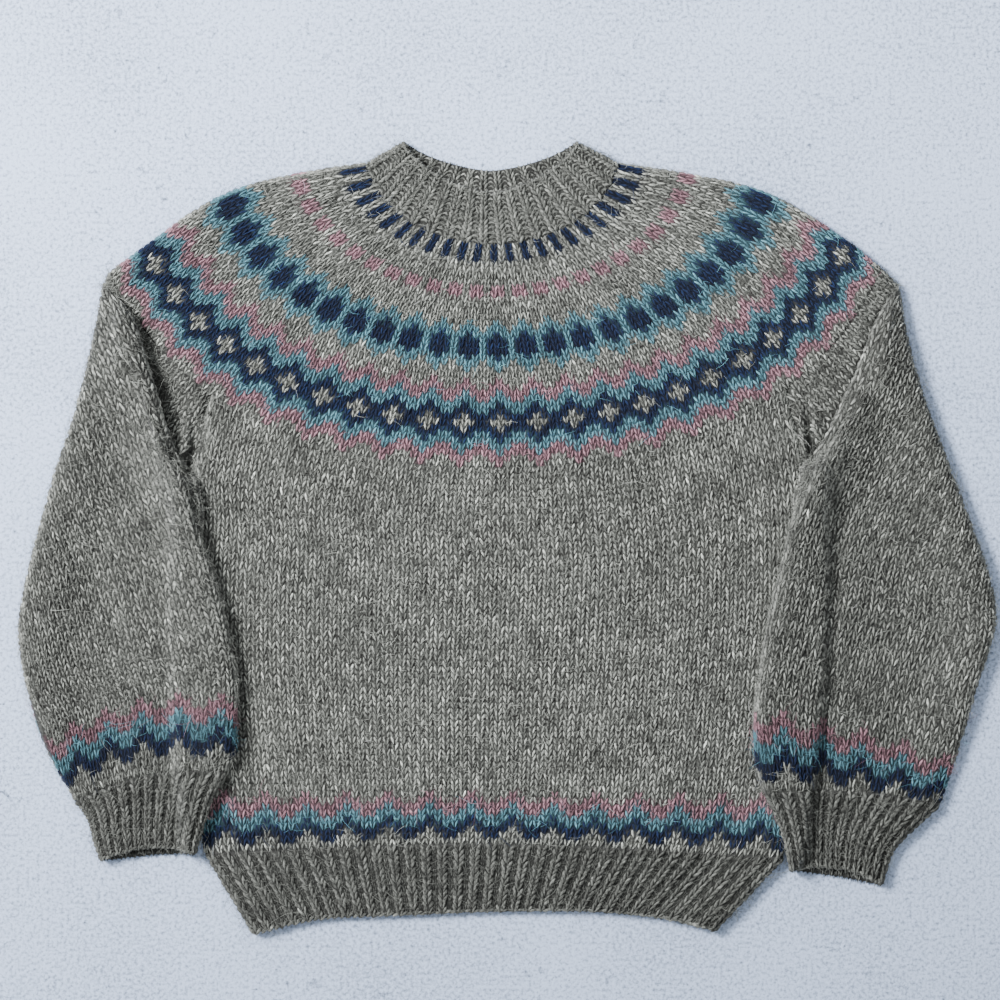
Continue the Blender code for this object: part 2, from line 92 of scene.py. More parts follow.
ARMPIT_GAP = 2.0  # between the body and a sleeve, along the yoke's seam

# The x of the body's side folds at a few heights, from the hem's edge up.
Side = namedtuple("Side", "y left right")
SIDES = (
    Side(-355, -229.5, 186),
    Side(-322, -252, 218),
    Side(-283, -273, 248.5),
    Side(-250, -275.5, 253),
    Side(-164, -283.5, 263),
    Side(-92, -287, 268),
    Side(-20, -286, 270),
    Side(34, -282.5, 268),
    Side(61, -283.5, 265.5),
    Side(83, -279.5, 262),
    Side(128, -266.5, 250.5),
)
# Points of a line across the body, at shares of its width: the top and the edge of the hem's rib.
Edge = namedtuple("Edge", "share x y")
HEM_SEAM = (
    Edge(0.0, -273.0, -283.0),
    Edge(0.5, -14.0, -275.0),
    Edge(1.0, 248.5, -287.0),
)
HEM_EDGE = (
    Edge(0.00, -229.5, -355.0),
    Edge(0.14, -173.0, -342.5),
    Edge(0.30, -108.0, -339.0),
    Edge(0.55, 2.0, -335.0),
    Edge(0.78, 96.0, -336.5),
    Edge(0.90, 143.0, -342.0),
    Edge(1.00, 187.0, -352.5),
)

# Lines across a sleeve, from the shoulder down: the ends at its outer and its inner fold, and how
# far the line bows upwards at three places between them.
Section = namedtuple("Section", "outer_x outer_y inner_x inner_y bow_outer bow bow_inner")
BOW_PLACES = (0.0, 0.12, 0.5, 0.92, 1.0)
SLEEVE_RIGHT = lines_of(
    Section,
    (-364, 227, -286.5, 60, 9.5, 6, -2),
    (-376, 165, -284.5, 40, 4, 5, -2),
    (-391, 107, -278.5, 15, 2, 4, -1),
    (-409, 53, -270.5, -10, 1, 3, 0),
    (-426.5, -11, -258, -50, 1, 2, 1),
    (-438.5, -67, -247, -97, 1, 2, 1),
    (-438, -106, -242, -135, 1.5, 3, 1),
    (-427.5, -155, -242, -168, 2, 5, 1.5),
    (-414, -193, -245, -193, 3, 7, 2),
    (-389, -237, -251, -209, 4, 10, 3),
)
SLEEVE_LEFT = lines_of(
    Section,
    (350.5, 227, 269.5, 68, 3, -1.5, -2),
    (362, 168, 269, 50, 2, 1, -2),
    (375, 124, 261, 33, 2, 2, -1),
    (391, 80, 252.5, 12, 1, 3, 0),
    (411.5, 25, 241, -34, 1, 2, 1),
    (431, -30, 231, -79, 1, 2, 1),
    (438.5, -69, 224.5, -117, 1, 2, 1),
    (433, -97, 221.5, -138, 1.2, 2.5, 1),
    (420.5, -136, 219, -167, 1.5, 3, 1),
    (407, -184, 219.5, -197, 2, 5, 1.5),
    (389, -239, 228.5, -229, 2.5, 6, 2),
)
CUFF_RIGHT = (
    SLEEVE_RIGHT[-1],
    Section(-380, -247.5, -262, -229, 4, 10, 3),
    Section(-375, -259, -268.5, -247, 4, 9, 3),
    Section(-371.5, -273, -274, -264.5, 3, 8, 2),
    Section(-366, -289.5, -279, -282, 3, 8, 2),
)
CUFF_LEFT = (
    SLEEVE_LEFT[-1],
    Section(369, -257, 237, -245, 2, 5, 2),
    Section(353, -272, 243.5, -261, 2, 6, 2),
    Section(343.5, -285.5, 248.5, -278, 2, 6, 2),
    Section(336, -311, 252, -297.5, 3, 8, 2),
)
CUFF_BACK_DROP = 7.0  # how far the back of a cuff's edge hangs below its front
CUFF_CROWN = 2.4  # how far a cuff's edge swells open

# Steps of the pleat at a sleeve's top, from the yoke's side over its crest: how far it lies beyond
# the fold line, the same with the wall tucked under, and how high. All are shares of the greatest.
Turn = namedtuple("Turn", "forward tucked up")
PLEAT = (
    Turn(-1.20, -1.20, 0.00),
    Turn(-0.50, -0.10, 0.00),
    Turn(-0.25, 0.42, 0.03),
    Turn(0.00, 0.30, 0.22),
    Turn(0.15, 0.00, 0.50),
    Turn(0.35, 0.12, 0.80),
    Turn(0.65, 0.50, 0.97),
    Turn(1.00, 1.00, 1.00),
)
PLEAT_CREST, PLEAT_FOOT = 5, 1  # rows of the pleat's table: its upper edge, and the foot of its wall
PLEAT_HEIGHTS = (20.0, 13.0)  # of the right and the left sleeve's pleat
PLEAT_REACH = 13.0  # how far the pleat turns over beyond the fold line
PLEAT_START = 0.24  # share of the fold line, from the outer end, over which it rises
PLEAT_END = 0.70  # and the share past which it sinks
PLEAT_LEFT_AT_END = 0.35  # share of its size that is left at the armpit
PLEAT_LAY = 96.0  # below the pleat, the sleeve sinks to its own height over this distance
PLEAT_ROOM = 0.4  # share of the part next to the yoke that the foot of its wall may take up
CLIMB = (24.0, 9.0)  # a sleeve climbs onto the body between these distances outside its side
LAY_CLEARANCE = 0.7  # between a sleeve and the body under it
# A sleeve lies beside the body above the first of these heights and on it below the second, for
# the right and the left sleeve.
BESIDE_BODY, ON_BODY = (64.0, 76.0), (46.0, 58.0)
SLEEVE_FOLD = 17.0  # height of the folds down a sleeve's sides
GUSSET = 11.0  # how far a sleeve's under layer reaches towards the body at the armpit
GUSSET_FROM, GUSSET_OVER = 0.8, 0.2  # it grows from this share of the fold line, over this much
GUSSET_SIDE, GUSSET_PACE = 0.3, 1.3  # and round the fold, under this side of it and at this pace
GUSSET_BELOW, GUSSET_ROWS = 0.95, (1.5, 3.0)  # its share below the pleat, and where it ends
KNEE, TOP = 30.0, 36.0  # above the first, heights count half; nothing stands above the second
FLOOR_HALF, FLOOR_DROP = 9000.0, 0.1  # half the floor's width, and how far it lies under the sweater

# How the stitches of the sleeves lie: a course across the sleeve from its inner edge to where its
# last column would be, counted from the shoulder. Columns that run out over the outer fold end there.
Course = namedtuple("Course", "row inner_x inner_y outer_x outer_y bow")
COURSES_RIGHT = lines_of(
    Course,
    (0, -363, 230, -520, 148, 0),
    (12, -322.2, 150.8, -497, 90, 0),
    (27, -291.6, 58, -468, 3, 1),
    (36, -273.6, 6.8, -453, -44, 2),
    (44, -259, -44.5, -443, -92, 3),
    (52, -246.6, -93, -433, -137, 6),
    (60, -243, -140, -414, -177, 15),
    (68, -247.5, -199, -401.4, -229, 16),
    (72, -251.5, -221, -391, -253, 11),
)
COURSES_LEFT = lines_of(
    Course,
    (0, 350, 228, 512, 137, 0),
    (8, 324, 178, 497, 97, 0),
    (15, 307.8, 132.8, 480, 64, 0),
    (28, 271.8, 60.8, 455, -10, 1),
    (39, 245.7, -13, 441, -60, 2),
    (45, 236.7, -50, 440, -92, 3),
    (51, 227.7, -93, 426, -136, 4),
    (60, 219.6, -149, 412.2, -200.3, 5),
    (68, 226.8, -217.4, 396, -247, 8),
    (72, 229.5, -248, 384, -276, 8),
)
SLEEVE_SPAN = (-4 / 26, 1.0)  # where the drawn columns begin and end, as a share of the way outwards
SLEEVE_WIDE = SLEEVE_SPAN[1] - SLEEVE_SPAN[0]
BAND_END = 68  # the course at the lower edge of the sleeves' coloured bands

# Soft creases: ridges where the height is above 0, troughs where it is below.
# Each runs from its start for its length, and fades at both ends.
Crease = namedtuple("Crease", "x y angle length width height")
CREASE_BOW = 0.06  # how far a crease bends aside, as a share of its length
CREASE_FADE = 0.7  # the power that shapes its ends: lower is more sudden
CREASES = lines_of(
    Crease,
    # hollows in front of the pleats
    (-356, 224, 294, 178, 12, -4.6),
    (339, 222, 246, 165, 7, -3.6),
    # the deep slits beside the body below the armpits
    (-275.5, 114, 254, 62, 4.6, -12),
    (-284, 116, 254, 60, 4.2, 5),
    (256.5, 114, -69, 56, 4.6, -12),
    (248.5, 112, -69, 54, 4, 3.4),
    # gathers that spread from the armpits into the sleeves
    (-267, 116, 172, 42, 3.4, 1.7),
    (-268, 121, 155, 58, 3, -1.3),
    (-270, 128, 141, 74, 4.2, 1.5),
    (-271, 109, 192, 30, 3.2, 1.5),
    (-271, 102, 212, 32, 3, -1.2),
    (251, 111, 14, 40, 3.4, 1.7),
    (252, 117, 31, 52, 3, -1.3),
    (255, 126, 45, 70, 4.4, 1.4),
    (256, 103, -12, 30, 3, 1.4),
    (257, 96, -36, 30, 3, -1.2),
    # fullness above the cuffs
    (-372, -236, 100, 44, 5, 1.5),
    (-349, -229, 96, 36, 4.4, -1.2),
    (-331, -223, 92, 52, 5.4, 1.6),
    (-309, -219, 88, 34, 4.2, -1.2),
    (-293, -216, 84, 46, 5, 1.4),
    (-268, -213, 80, 38, 4.6, 1.5),
    (240, -232, 100, 40, 4.6, 1.4),
    (262, -234, 96, 48, 5.2, 1.6),
    (283, -236, 92, 34, 4.2, -1.2),
    (304, -238, 87, 54, 5.6, 1.6),
    (327, -240, 83, 36, 4.2, -1.2),
    (348, -242, 79, 46, 5, 1.5),
    (372, -244, 74, 36, 4.6, 1.3),
    # broad, shallow swells of the sleeves and the body
    (-404, 20, 262, 150, 15, 1.8),
    (-372, -20, 278, 170, 17, -1.5),
    (-330, 30, 284, 190, 20, 1.7),
    (398, 10, 280, 140, 16, 1.8),
    (352, 40, 262, 180, 18, -1.5),
    (310, 20, 256, 190, 20, 1.7),
    (-215, -120, 78, 170, 16, 0.9),
    (-120, -205, 35, 190, 22, 0.8),
    (60, -180, 62, 210, 24, -0.8),
    (185, -90, 104, 150, 16, 0.9),
    (-90, 20, 12, 200, 20, -0.7),
    (20, -80, 160, 150, 18, 0.8),
    # ripples above the hem
    (-236, -276, 96, 42, 5.5, 0.9),
    (-188, -275, 92, 50, 6.5, -0.8),
    (-131, -274, 88, 36, 5.5, 0.8),
    (-72, -273, 93, 46, 6.5, 0.9),
    (-6, -273, 87, 34, 5.5, -0.8),
    (58, -275, 91, 52, 6.5, 0.9),
    (117, -277, 86, 38, 5.5, 0.8),
    (171, -280, 92, 48, 6, -0.8),
    (216, -284, 84, 40, 5.5, 0.9),
)

# ---------------------------------------------------------------------------
# The stitches

BODY_COLUMNS, BODY_ROWS = 145, 64
BODY_BAND, BODY_PHASE = 1, 2  # the row and the column where the zigzags of its bands begin
SLEEVE_COLUMNS, SLEEVE_ROWS = 26, 72
BACK_BAND = 3  # the row where the bands on a sleeve's back begin
YOKE_ROWS, YOKE_REPEATS = 38, 46
YOKE_FRONT = (-0.69, 22.54)  # the repeats where the yoke's front begins and ends
YOKE_WIDE = YOKE_FRONT[1] - YOKE_FRONT[0]
# The part of a sleeve next to the yoke: its rows, how far out they reach and, as it carries the
# yoke's columns on, the stitches to a repeat, the repeats and the stitches to spare at both ends.
WEDGE_ROWS, WEDGE_REACH = 17, 90.0
YOKE_STITCHES, WEDGE_REPEATS, WEDGE_SPARE = 5, 23, 3

# A stitch leg: places along its middle line, in rows up and columns across, half its width in
# columns and the height of its middle and its edges over the ground of the cloth.
Leg = namedtuple("Leg", "up across half middle edge")
KNIT_LEG = (
    Leg(-0.42, 0.045, 0.00, -1.0, -1.0),
    Leg(0.02, 0.130, 0.125, 0.80, -0.9),
    Leg(0.46, 0.235, 0.165, 1.70, -0.3),
    Leg(0.90, 0.335, 0.145, 1.20, -0.7),
    Leg(1.34, 0.395, 0.00, -1.1, -1.1),
)
FLAT_LEG = (
    Leg(-0.32, 0.040, 0.00, -0.8, -0.8),
    Leg(0.24, 0.180, 0.16, 1.30, -0.4),
    Leg(0.74, 0.310, 0.16, 1.30, -0.4),
    Leg(1.24, 0.390, 0.00, -0.8, -0.8),
)
PURL_BUMP = (
    Leg(-0.95, 0.02, 0.00, -0.2, -0.2),
    Leg(-0.52, 0.36, 0.22, 0.90, -0.5),
    Leg(0.00, 0.56, 0.26, 1.20, -0.4),
    Leg(0.52, 0.36, 0.22, 0.90, -0.5),
    Leg(0.95, 0.02, 0.00, -0.2, -0.2),
)
CAST_OFF = (
    Leg(-0.72, 0.02, 0.00, -0.2, -0.2),
    Leg(-0.32, 0.14, 0.24, 1.60, 0.2),
    Leg(0.05, 0.26, 0.30, 2.10, 0.6),
    Leg(0.42, 0.38, 0.24, 1.70, 0.3),
    Leg(0.80, 0.46, 0.00, -0.2, -0.2),
)

GREY, TEAL, NAVY, PINK = range(4)
YARNS = np.array(
    [
        [0.179, 0.186, 0.171],
        [0.071, 0.168, 0.209],
        [0.0050, 0.0115, 0.037],
        [0.225, 0.124, 0.150],
    ]
)
HEATHER = np.array([1.0, 0.55, 0.55, 0.65])  # how strongly each yarn is flecked
# painted shade: the bare cloth under the stitches is darkened for the shade that falls between them
GROUND_PAINTED_SHADE = 0.22
# painted light and shade: the sleeves' yarns are darkened and the yoke's lightened for how the light falls
# on them
SLEEVE_PAINTED_SHADE, YOKE_PAINTED_LIGHT = 0.79, 1.18
RIB_SPECK = 0.55  # how much less a rib's stitches differ from each other in tone

# A ribbed band: its ribs and rows on one side, the widths of its knit and purl stitches as shares of
# a rib's pitch, how far the purls stand out, whether they show as bumps, where the cast-off edge
# lies (0 low, 1 high) and its shade, a painted shade that darkens the band for the shade in its furrows.
Band = namedtuple("Band", "ribs rows knit purl purl_lift bumpy edge shade")
HEM = Band(35, 12, 0.68, 0.28, -0.3, False, 0, 0.46)
CUFF = Band(11, 13, 0.76, 0.18, -0.3, False, 0, 0.46)
COLLAR = Band(18, 11, 0.62, 0.27, 0.5, True, 1, 0.75)
CUFF_INSIDE = CUFF._replace(knit=COLLAR.knit, purl=COLLAR.purl, purl_lift=COLLAR.purl_lift)
COLLAR_INSIDE = COLLAR._replace(ribs=15)
COLLAR_SHOWN, CUFF_SHOWN = (0.35, 1.0), (0.0, 0.3)  # the rows inside that the mouths show
RIB_POINTS = 8  # points of the ground round each rib
COARSE, FINE, VERY_FINE = 181, 361, 721  # points round a tube


def eased(share):
    """A share from 0 to 1 that starts and ends softly: 3 s^2 - 2 s^3."""
    share = np.clip(share, 0.0, 1.0)
    return share * share * (3.0 - 2.0 * share)


def blend(start, end, share):
    """The straight way from start to end, at a share of it."""
    return start + (end - start) * share


def through(places, values, wanted):
    """A smooth curve through the rows of a table: cubic spans whose slopes come from their neighbours."""
    places, values, wanted = (np.asarray(a, float) for a in (places, values, wanted))
    slopes = np.gradient(values, places)
    span = np.clip(np.searchsorted(places, wanted) - 1, 0, len(places) - 2)
    width = places[span + 1] - places[span]
    t = np.clip((wanted - places[span]) / width, 0.0, 1.0)
    start = values[span] * (1 + 2 * t) * (1 - t) ** 2 + slopes[span] * width * t * (1 - t) ** 2
    end = values[span + 1] * t * t * (3 - 2 * t) - slopes[span + 1] * width * t * t * (1 - t)
    return start + end


def table(rows, column):
    """One column of a table."""
    return np.array([getattr(row, column) for row in rows])


def across(count):
    """Even shares from 0 to 1."""
    return np.linspace(0.0, 1.0, count)


def unit(vectors):
    """Vectors at length 1, and those of no length at 0."""
    return vectors / np.maximum(np.linalg.norm(vectors, axis=-1, keepdims=True), TINY)


def line_length(line):
    """The length of a line of points in the plan."""
    return float(np.hypot(*np.diff(line, axis=0).T).sum())


def at_place(rows, kind, place):
    """A table's row at any place between its rows, counted from 0."""
    steps = np.arange(len(rows))
    return kind(*(float(through(steps, table(rows, c), place)) for c in kind._fields))


# ---------------------------------------------------------------------------
# Plans. A plan gives spots for shares across a piece, from its left to its right or from its outer
# to its inner fold, and for how far under they are: 0 on the front and 1 on the back.


def yoke_round(up):
    """The yoke's round at any share of the way up."""
    steps = table(YOKE, "up")
    return Round(up, *(float(through(steps, table(YOKE, c), up)) for c in Round._fields[1:]))


def oval(ring, hang, outset, share):
    """Points at even lengths along the lower arc of a round, from fold to fold.

    The arc is x = -a cos(t)^(2/n), y = -b sin(t)^(2/n), for its reach a, hang b and squareness n.
    """
    depth = hang + outset
    power = 2.0 / ring.square
    ends = [
        math.asin(min(1.0, max(0.0, (ring.centre_y - fold) / depth)) ** (1.0 / power))
        for fold in (ring.fold_left, ring.fold_right)
    ]
    turn = np.linspace(ends[0], math.pi - ends[1], ROUND_POINTS)
    reach = np.where(turn < math.pi / 2, ring.left, ring.right) + outset
    x = ring.centre_x - reach * np.sign(np.cos(turn)) * np.abs(np.cos(turn)) ** power
    y = ring.centre_y - depth * np.sin(turn) ** power
    length = np.concatenate([[0.0], np.cumsum(np.hypot(np.diff(x), np.diff(y)))])
    wanted = np.asarray(share) * length[-1]
    return np.stack([np.interp(wanted, length, x), np.interp(wanted, length, y)], -1)


def round_plan(ring, outset=0.0):
    """The plan of a round: its front's arc, going over to its back's."""

    def plan(share, under):
        front = oval(ring, ring.front, outset, share)
        back = oval(ring, ring.back, outset, share)
        return blend(front, back, under[..., None])

    return plan


SEAM_ROUND = yoke_round(0.0)
SEAM_LENGTH = line_length(oval(SEAM_ROUND, SEAM_ROUND.front, 0.0, across(ROUND_POINTS)))


def share_at(ring, x):
    """How far along a round's front a place across the sweater lies."""
    shares = across(ROUND_POINTS)
    return float(np.interp(x, oval(ring, ring.front, 0.0, shares)[:, 0], shares))


ARMPIT_SHARE = [share_at(SEAM_ROUND, x) for x in ARMPIT_X]
SLEEVE_SHARE = [
    ARMPIT_SHARE[0] - ARMPIT_GAP / SEAM_LENGTH,
    ARMPIT_SHARE[1] + ARMPIT_GAP / SEAM_LENGTH,
]
# Of each sleeve: its node, its lines, where it ends on the yoke's seam, its pleat's height, its
# courses, how much wider its inner stitches lie, the column where the zigzags of its bands begin
# and the first of its random seeds.
SLEEVES = (
    ("sleeve_right", SLEEVE_RIGHT, SLEEVE_SHARE[0], PLEAT_HEIGHTS[0], COURSES_RIGHT, 0.28, 4, 10),
    ("sleeve_left", SLEEVE_LEFT, SLEEVE_SHARE[1], PLEAT_HEIGHTS[1], COURSES_LEFT, 0.0, 2, 20),
)


def seam_arc(start, end, share):
    """A stretch of the seam below the yoke, between two shares of it."""
    return oval(SEAM_ROUND, SEAM_ROUND.front, SEAM_GAP, blend(start, end, np.asarray(share)))


def side_x(y):
    """The x of the body's left and right side at a height."""
    steps = table(SIDES, "y")
    return through(steps, table(SIDES, "left"), y), through(steps, table(SIDES, "right"), y)


def edge_line(rows, share):
    """Spots of a line across the body."""
    steps = table(rows, "share")
    x, y = (through(steps, table(rows, column), share) for column in ("x", "y"))
    return np.stack([x, y], -1)


def body_plan(up):
    """A line across the body, at a share of the way up it.

    The hem's and the yoke's seam are blended, and so are the two sides. The spot is the sum of both
    blends, less the one that straight lines between the four corners would give.
    """

    def plan(share, under):
        low, high = edge_line(HEM_SEAM, share), seam_arc(*ARMPIT_SHARE, share)
        low_ends = [edge_line(HEM_SEAM, end) for end in (0.0, 1.0)]
        high_ends = [seam_arc(*ARMPIT_SHARE, end) for end in (0.0, 1.0)]
        sides = []
        for k in (0, 1):
            y = blend(low_ends[k][1], high_ends[k][1], up)
            sides.append(np.array([float(side_x(y)[k]), y]))
        way = share[..., None]
        straight = blend(blend(*low_ends, way), blend(*high_ends, way), up)
        return blend(low, high, up) + blend(*sides, way) - straight

    return plan


def hem_plan(down):
    """A line across the hem's rib: its seam, going over to its edge."""

    def plan(share, under):
        seam = edge_line(HEM_SEAM, share) - np.array([0.0, SEAM_GAP])
        return blend(seam, edge_line(HEM_EDGE, share), down)

    return plan


def section_plan(row, drop=0.0):
    """A line across a sleeve: straight from fold to fold, bowed upwards at right angles to itself.

    The line's back hangs lower by drop times 4 s (1 - s), which is greatest in its middle.
    """

    def plan(share, under):
        outer = np.array([row.outer_x, row.outer_y])
        inner = np.array([row.inner_x, row.inner_y])
        along = (inner - outer) / np.hypot(*(inner - outer))
        rise = np.array([-along[1], along[0]]) * (1.0 if along[0] > 0 else -1.0)
        bow = through(BOW_PLACES, (0.0, row.bow_outer, row.bow, row.bow_inner, 0.0), share)
        bow = bow - drop * 4.0 * share * (1.0 - share) * under
        return blend(outer, inner, share[..., None]) + bow[..., None] * rise

    return plan


def body_height(inset):
    """The height of the body's top at a distance inwards from its side."""
    return FLAT + (FOLD - FLAT) * (1.0 - eased(inset / FOLD_REACH))


def resting_height(place):
    """The height that a sleeve rests on: the floor's, rising to the body's where it lies on that."""
    x, y = place[..., 0], place[..., 1]
    left, right = side_x(y)
    inset = np.minimum(x - left, right - x)
    climb = eased((inset + CLIMB[0]) / (CLIMB[0] - CLIMB[1]))
    beside, on_body = (np.where(x < 0, *pair) for pair in (BESIDE_BODY, ON_BODY))
    below_armpit = eased((beside - y) / (beside - on_body))
    return (body_height(np.maximum(inset, 0.0)) + LAY_CLEARANCE) * climb * below_armpit


def on_floor(place):
    """The height that the other pieces rest on."""
    return np.zeros(place.shape[:-1])


# ---------------------------------------------------------------------------
# Tubes of cloth

# A section of a tube: its plan, the heights of its two folds, how far its middle swells, the height
# that it rests on and, if it has one, a function that moves its points.
Station = namedtuple("Station", "plan folds crown rest shape")
SECTION_POINTS = 60  # points that a section's width is measured along


def crease_height(spot):
    """The height of all creases at spots in the plan: bell-shaped across, faded at both ends."""
    rise = np.zeros(spot.shape[:-1])
    for crease in CREASES:
        turn = math.radians(crease.angle)
        offset = spot - np.array([crease.x, crease.y])
        along = (offset @ np.array([math.cos(turn), math.sin(turn)])) / crease.length
        aside = offset @ np.array([-math.sin(turn), math.cos(turn)])
        aside = aside - CREASE_BOW * crease.length * np.sin(math.pi * along)
        inside = (along > 0.0) & (along < 1.0)
        bell = np.exp(-((aside / crease.width) ** 2))
        faded = np.sin(math.pi * along.clip(0, 1)) ** CREASE_FADE
        rise += np.where(inside, crease.height * bell * faded, 0.0)
    return rise


def section_total(station):
    """A section's width, and the length of its front over both folds."""
    width = line_length(station.plan(across(SECTION_POINTS), np.zeros(SECTION_POINTS)))
    return width, width + (math.pi / 2 - 1.0) * (station.folds[0] + station.folds[1]) / 2


def section_profile(width, folds, inset, around):
    """Shares across and sides of points round a flattened tube.

    Round it, 0 to 1 runs over the front from fold to fold and 1 to 2 back under it. A section is two
    straight lines joined by two quarter turns on each side. Side is 1 on the front, -1 on the back
    and goes over from one to the other with the sine of the turn.
    """
    first, last = folds[0] / 2, folds[1] / 2
    quarter = math.pi / 2
    total = width + (quarter - 1.0) * (first + last)
    length = np.where(around <= 1.0, around, 2.0 - around) * total
    turn = np.clip(length / first, 0.0, quarter)
    turn_last = np.clip((total - length) / last, 0.0, quarter)
    at = np.clip(length - first * quarter, 0.0, width - first - last) + first
    at = np.where(turn < quarter, first - (first - inset) * np.cos(turn), at)
    at = np.where(turn_last < quarter, width - last + (last - inset) * np.cos(turn_last), at)
    side = np.sin(turn) * np.sin(turn_last) * np.where(around <= 1.0, 1.0, -1.0)
    return at / width, side


def ring_points(station, inset, around):
    """Points round one section of a tube, the inset measured inwards from its outer wall.

    A point stands over what the tube rests on by half the tube's height, plus its side times that
    half less the inset. The height is the flat one, swelled near the folds and in the middle.
    Creases are added on the front, and what is above the knee counts half.
    """
    width, _ = section_total(station)
    share, side = section_profile(width, station.folds, inset, around)
    spot = station.plan(share, (1.0 - side) / 2)
    swell = [
        (fold - FLAT) * (1.0 - eased((reach - fold / 2) / FOLD_REACH))
        for fold, reach in zip(station.folds, (share * width, (1.0 - share) * width))
    ]
    height = FLAT + swell[0] + swell[1] + station.crown * 4.0 * share * (1.0 - share)
    z = station.rest(spot) + height / 2 + (height / 2 - inset) * side
    z += crease_height(spot) * np.clip(side, 0.0, 1.0)
    points = np.column_stack([spot, z])
    if station.shape:
        points += station.shape(share, side, spot)
    points[:, 2] = np.minimum(points[:, 2], (points[:, 2] + KNEE) / 2)
    return points


class Cloth:
    """A grid of points round a tube of cloth, looked up by rows along it and places round it.

    Places run from 0 to 1 over the tube's front and on to 2 under it, and come round again. Rows run
    from 0 to 1, and a little past the ends they carry on straight.
    """

    def __init__(self, stations, inset, columns, facing_in=False):
        around = np.linspace(0.0, 2.0, columns)
        self.points = np.stack([ring_points(station, inset, around) for station in stations])
        wide = np.concatenate([self.points[:, -2:-1], self.points, self.points[:, 1:2]], axis=1)
        normals = np.cross(np.gradient(wide, axis=1), np.gradient(wide, axis=0))[:, 1:-1]
        normals = unit(normals)
        outwards = normals[:, : columns // 2, 2].mean() > 0.0
        self.flip = outwards == facing_in
        self.normals = -normals if self.flip else normals

    def look_up(self, along, places):
        """The points and normals at rows along and places round the tube."""
        tall, wide = (n - 1 for n in self.points.shape[:2])
        v = along * tall
        u = np.mod(places / 2.0, 1.0) * wide
        i = np.clip(v.astype(int), 0, tall - 1)
        j = np.minimum(u.astype(int), wide - 1)
        v, u = (v - i)[..., None], (u - j)[..., None]
        points, normals = (
            blend(
                blend(grid[i, j], grid[i, j + 1], u), blend(grid[i + 1, j], grid[i + 1, j + 1], u), v
            )
            for grid in (self.points, self.normals)
        )
        return points, normals


class Laid:
    """Finds which part of a tube's front lies at a spot of its plan, its side folds rolled out flat.

    A coarse grid of cells holds a first guess for each spot: the mean row and column of the points
    that lie there, spread to the empty cells around. Newton's method goes on from there, between the
    four points of a cell of the plan.
    """

    CELL = 3.0  # size of the coarse grid's cells
    SPREAD = 9  # cells that a guess is spread
    STEPS = 18
    SHORT_PACE = 0.55  # every other step is shortened, so that the search doesn't swing to and fro
    ROW_LIMIT, COLUMN_LIMIT = 1.0, 9.0  # longest step along and around
    NEAR = 1.5  # how close to the spot it has to end
    PARALLEL = 1e-6  # smallest area of a cell of the plan

    def __init__(self, plan, along, around):
        self.plan, self.along, self.around = plan, along, around
        rows, columns = plan.shape[:2]
        self.low = plan.reshape(-1, 2).min(0) - self.CELL
        size = ((plan.reshape(-1, 2).max(0) - self.low) / self.CELL).astype(int) + 2
        cell = ((plan.reshape(-1, 2) - self.low) / self.CELL).astype(int)
        index = cell[:, 0] * size[1] + cell[:, 1]
        row, column = (a.ravel() for a in np.meshgrid(np.arange(rows), np.arange(columns), indexing="ij"))
        count = np.bincount(index, minlength=size.prod()).reshape(size)
        sums = [np.bincount(index, a, minlength=size.prod()).reshape(size) for a in (row, column)]
        for _ in range(self.SPREAD):
            empty = count == 0
            spread = [
                sum(np.roll(a * ~empty, s, (0, 1)) for s in ((1, 0), (-1, 0), (0, 1), (0, -1)))
                for a in (count, *sums)
            ]
            count = np.where(empty, spread[0], count)
            sums = [np.where(empty, new, old) for old, new in zip(sums, spread[1:])]
        self.guess = [a / np.maximum(count, 1) for a in sums]
        self.size = size

    def find(self, spot):
        """The rows along and places around at spots, and whether each spot lies on the cloth."""
        rows, columns = self.plan.shape[:2]
        cell = ((spot - self.low) / self.CELL).astype(int)
        cell = np.clip(cell, 0, self.size - 1)
        i, j = (guess[cell[..., 0], cell[..., 1]] for guess in self.guess)
        for step in range(self.STEPS + 1):
            a = np.clip(i.astype(int), 0, rows - 2)
            b = np.clip(j.astype(int), 0, columns - 2)
            v, u = (i - a)[..., None], (j - b)[..., None]
            corners = [self.plan[a, b], self.plan[a, b + 1], self.plan[a + 1, b], self.plan[a + 1, b + 1]]
            at = blend(blend(corners[0], corners[1], u), blend(corners[2], corners[3], u), v)
            miss = spot - at
            if step == self.STEPS:
                break
            down = blend(corners[2] - corners[0], corners[3] - corners[1], u)
            over = blend(corners[1] - corners[0], corners[3] - corners[2], v)
            area = down[..., 0] * over[..., 1] - down[..., 1] * over[..., 0]
            area = np.where(np.abs(area) < self.PARALLEL, self.PARALLEL, area)
            rows_off = (miss[..., 0] * over[..., 1] - miss[..., 1] * over[..., 0]) / area
            columns_off = (down[..., 0] * miss[..., 1] - down[..., 1] * miss[..., 0]) / area
            pace = self.SHORT_PACE if step % 2 else 1.0
            i = i + pace * np.clip(rows_off, -self.ROW_LIMIT, self.ROW_LIMIT)
            j = j + pace * np.clip(columns_off, -self.COLUMN_LIMIT, self.COLUMN_LIMIT)
            i, j = np.clip(i, -0.5, rows - 0.5), np.clip(j, -0.5, columns - 0.5)
        found = np.hypot(miss[..., 0], miss[..., 1]) < self.NEAR
        along = np.interp(np.clip(i, 0, rows - 1), np.arange(rows), self.along)
        around = np.interp(np.clip(j, 0, columns - 1), np.arange(columns), self.around)
        return along, around, found


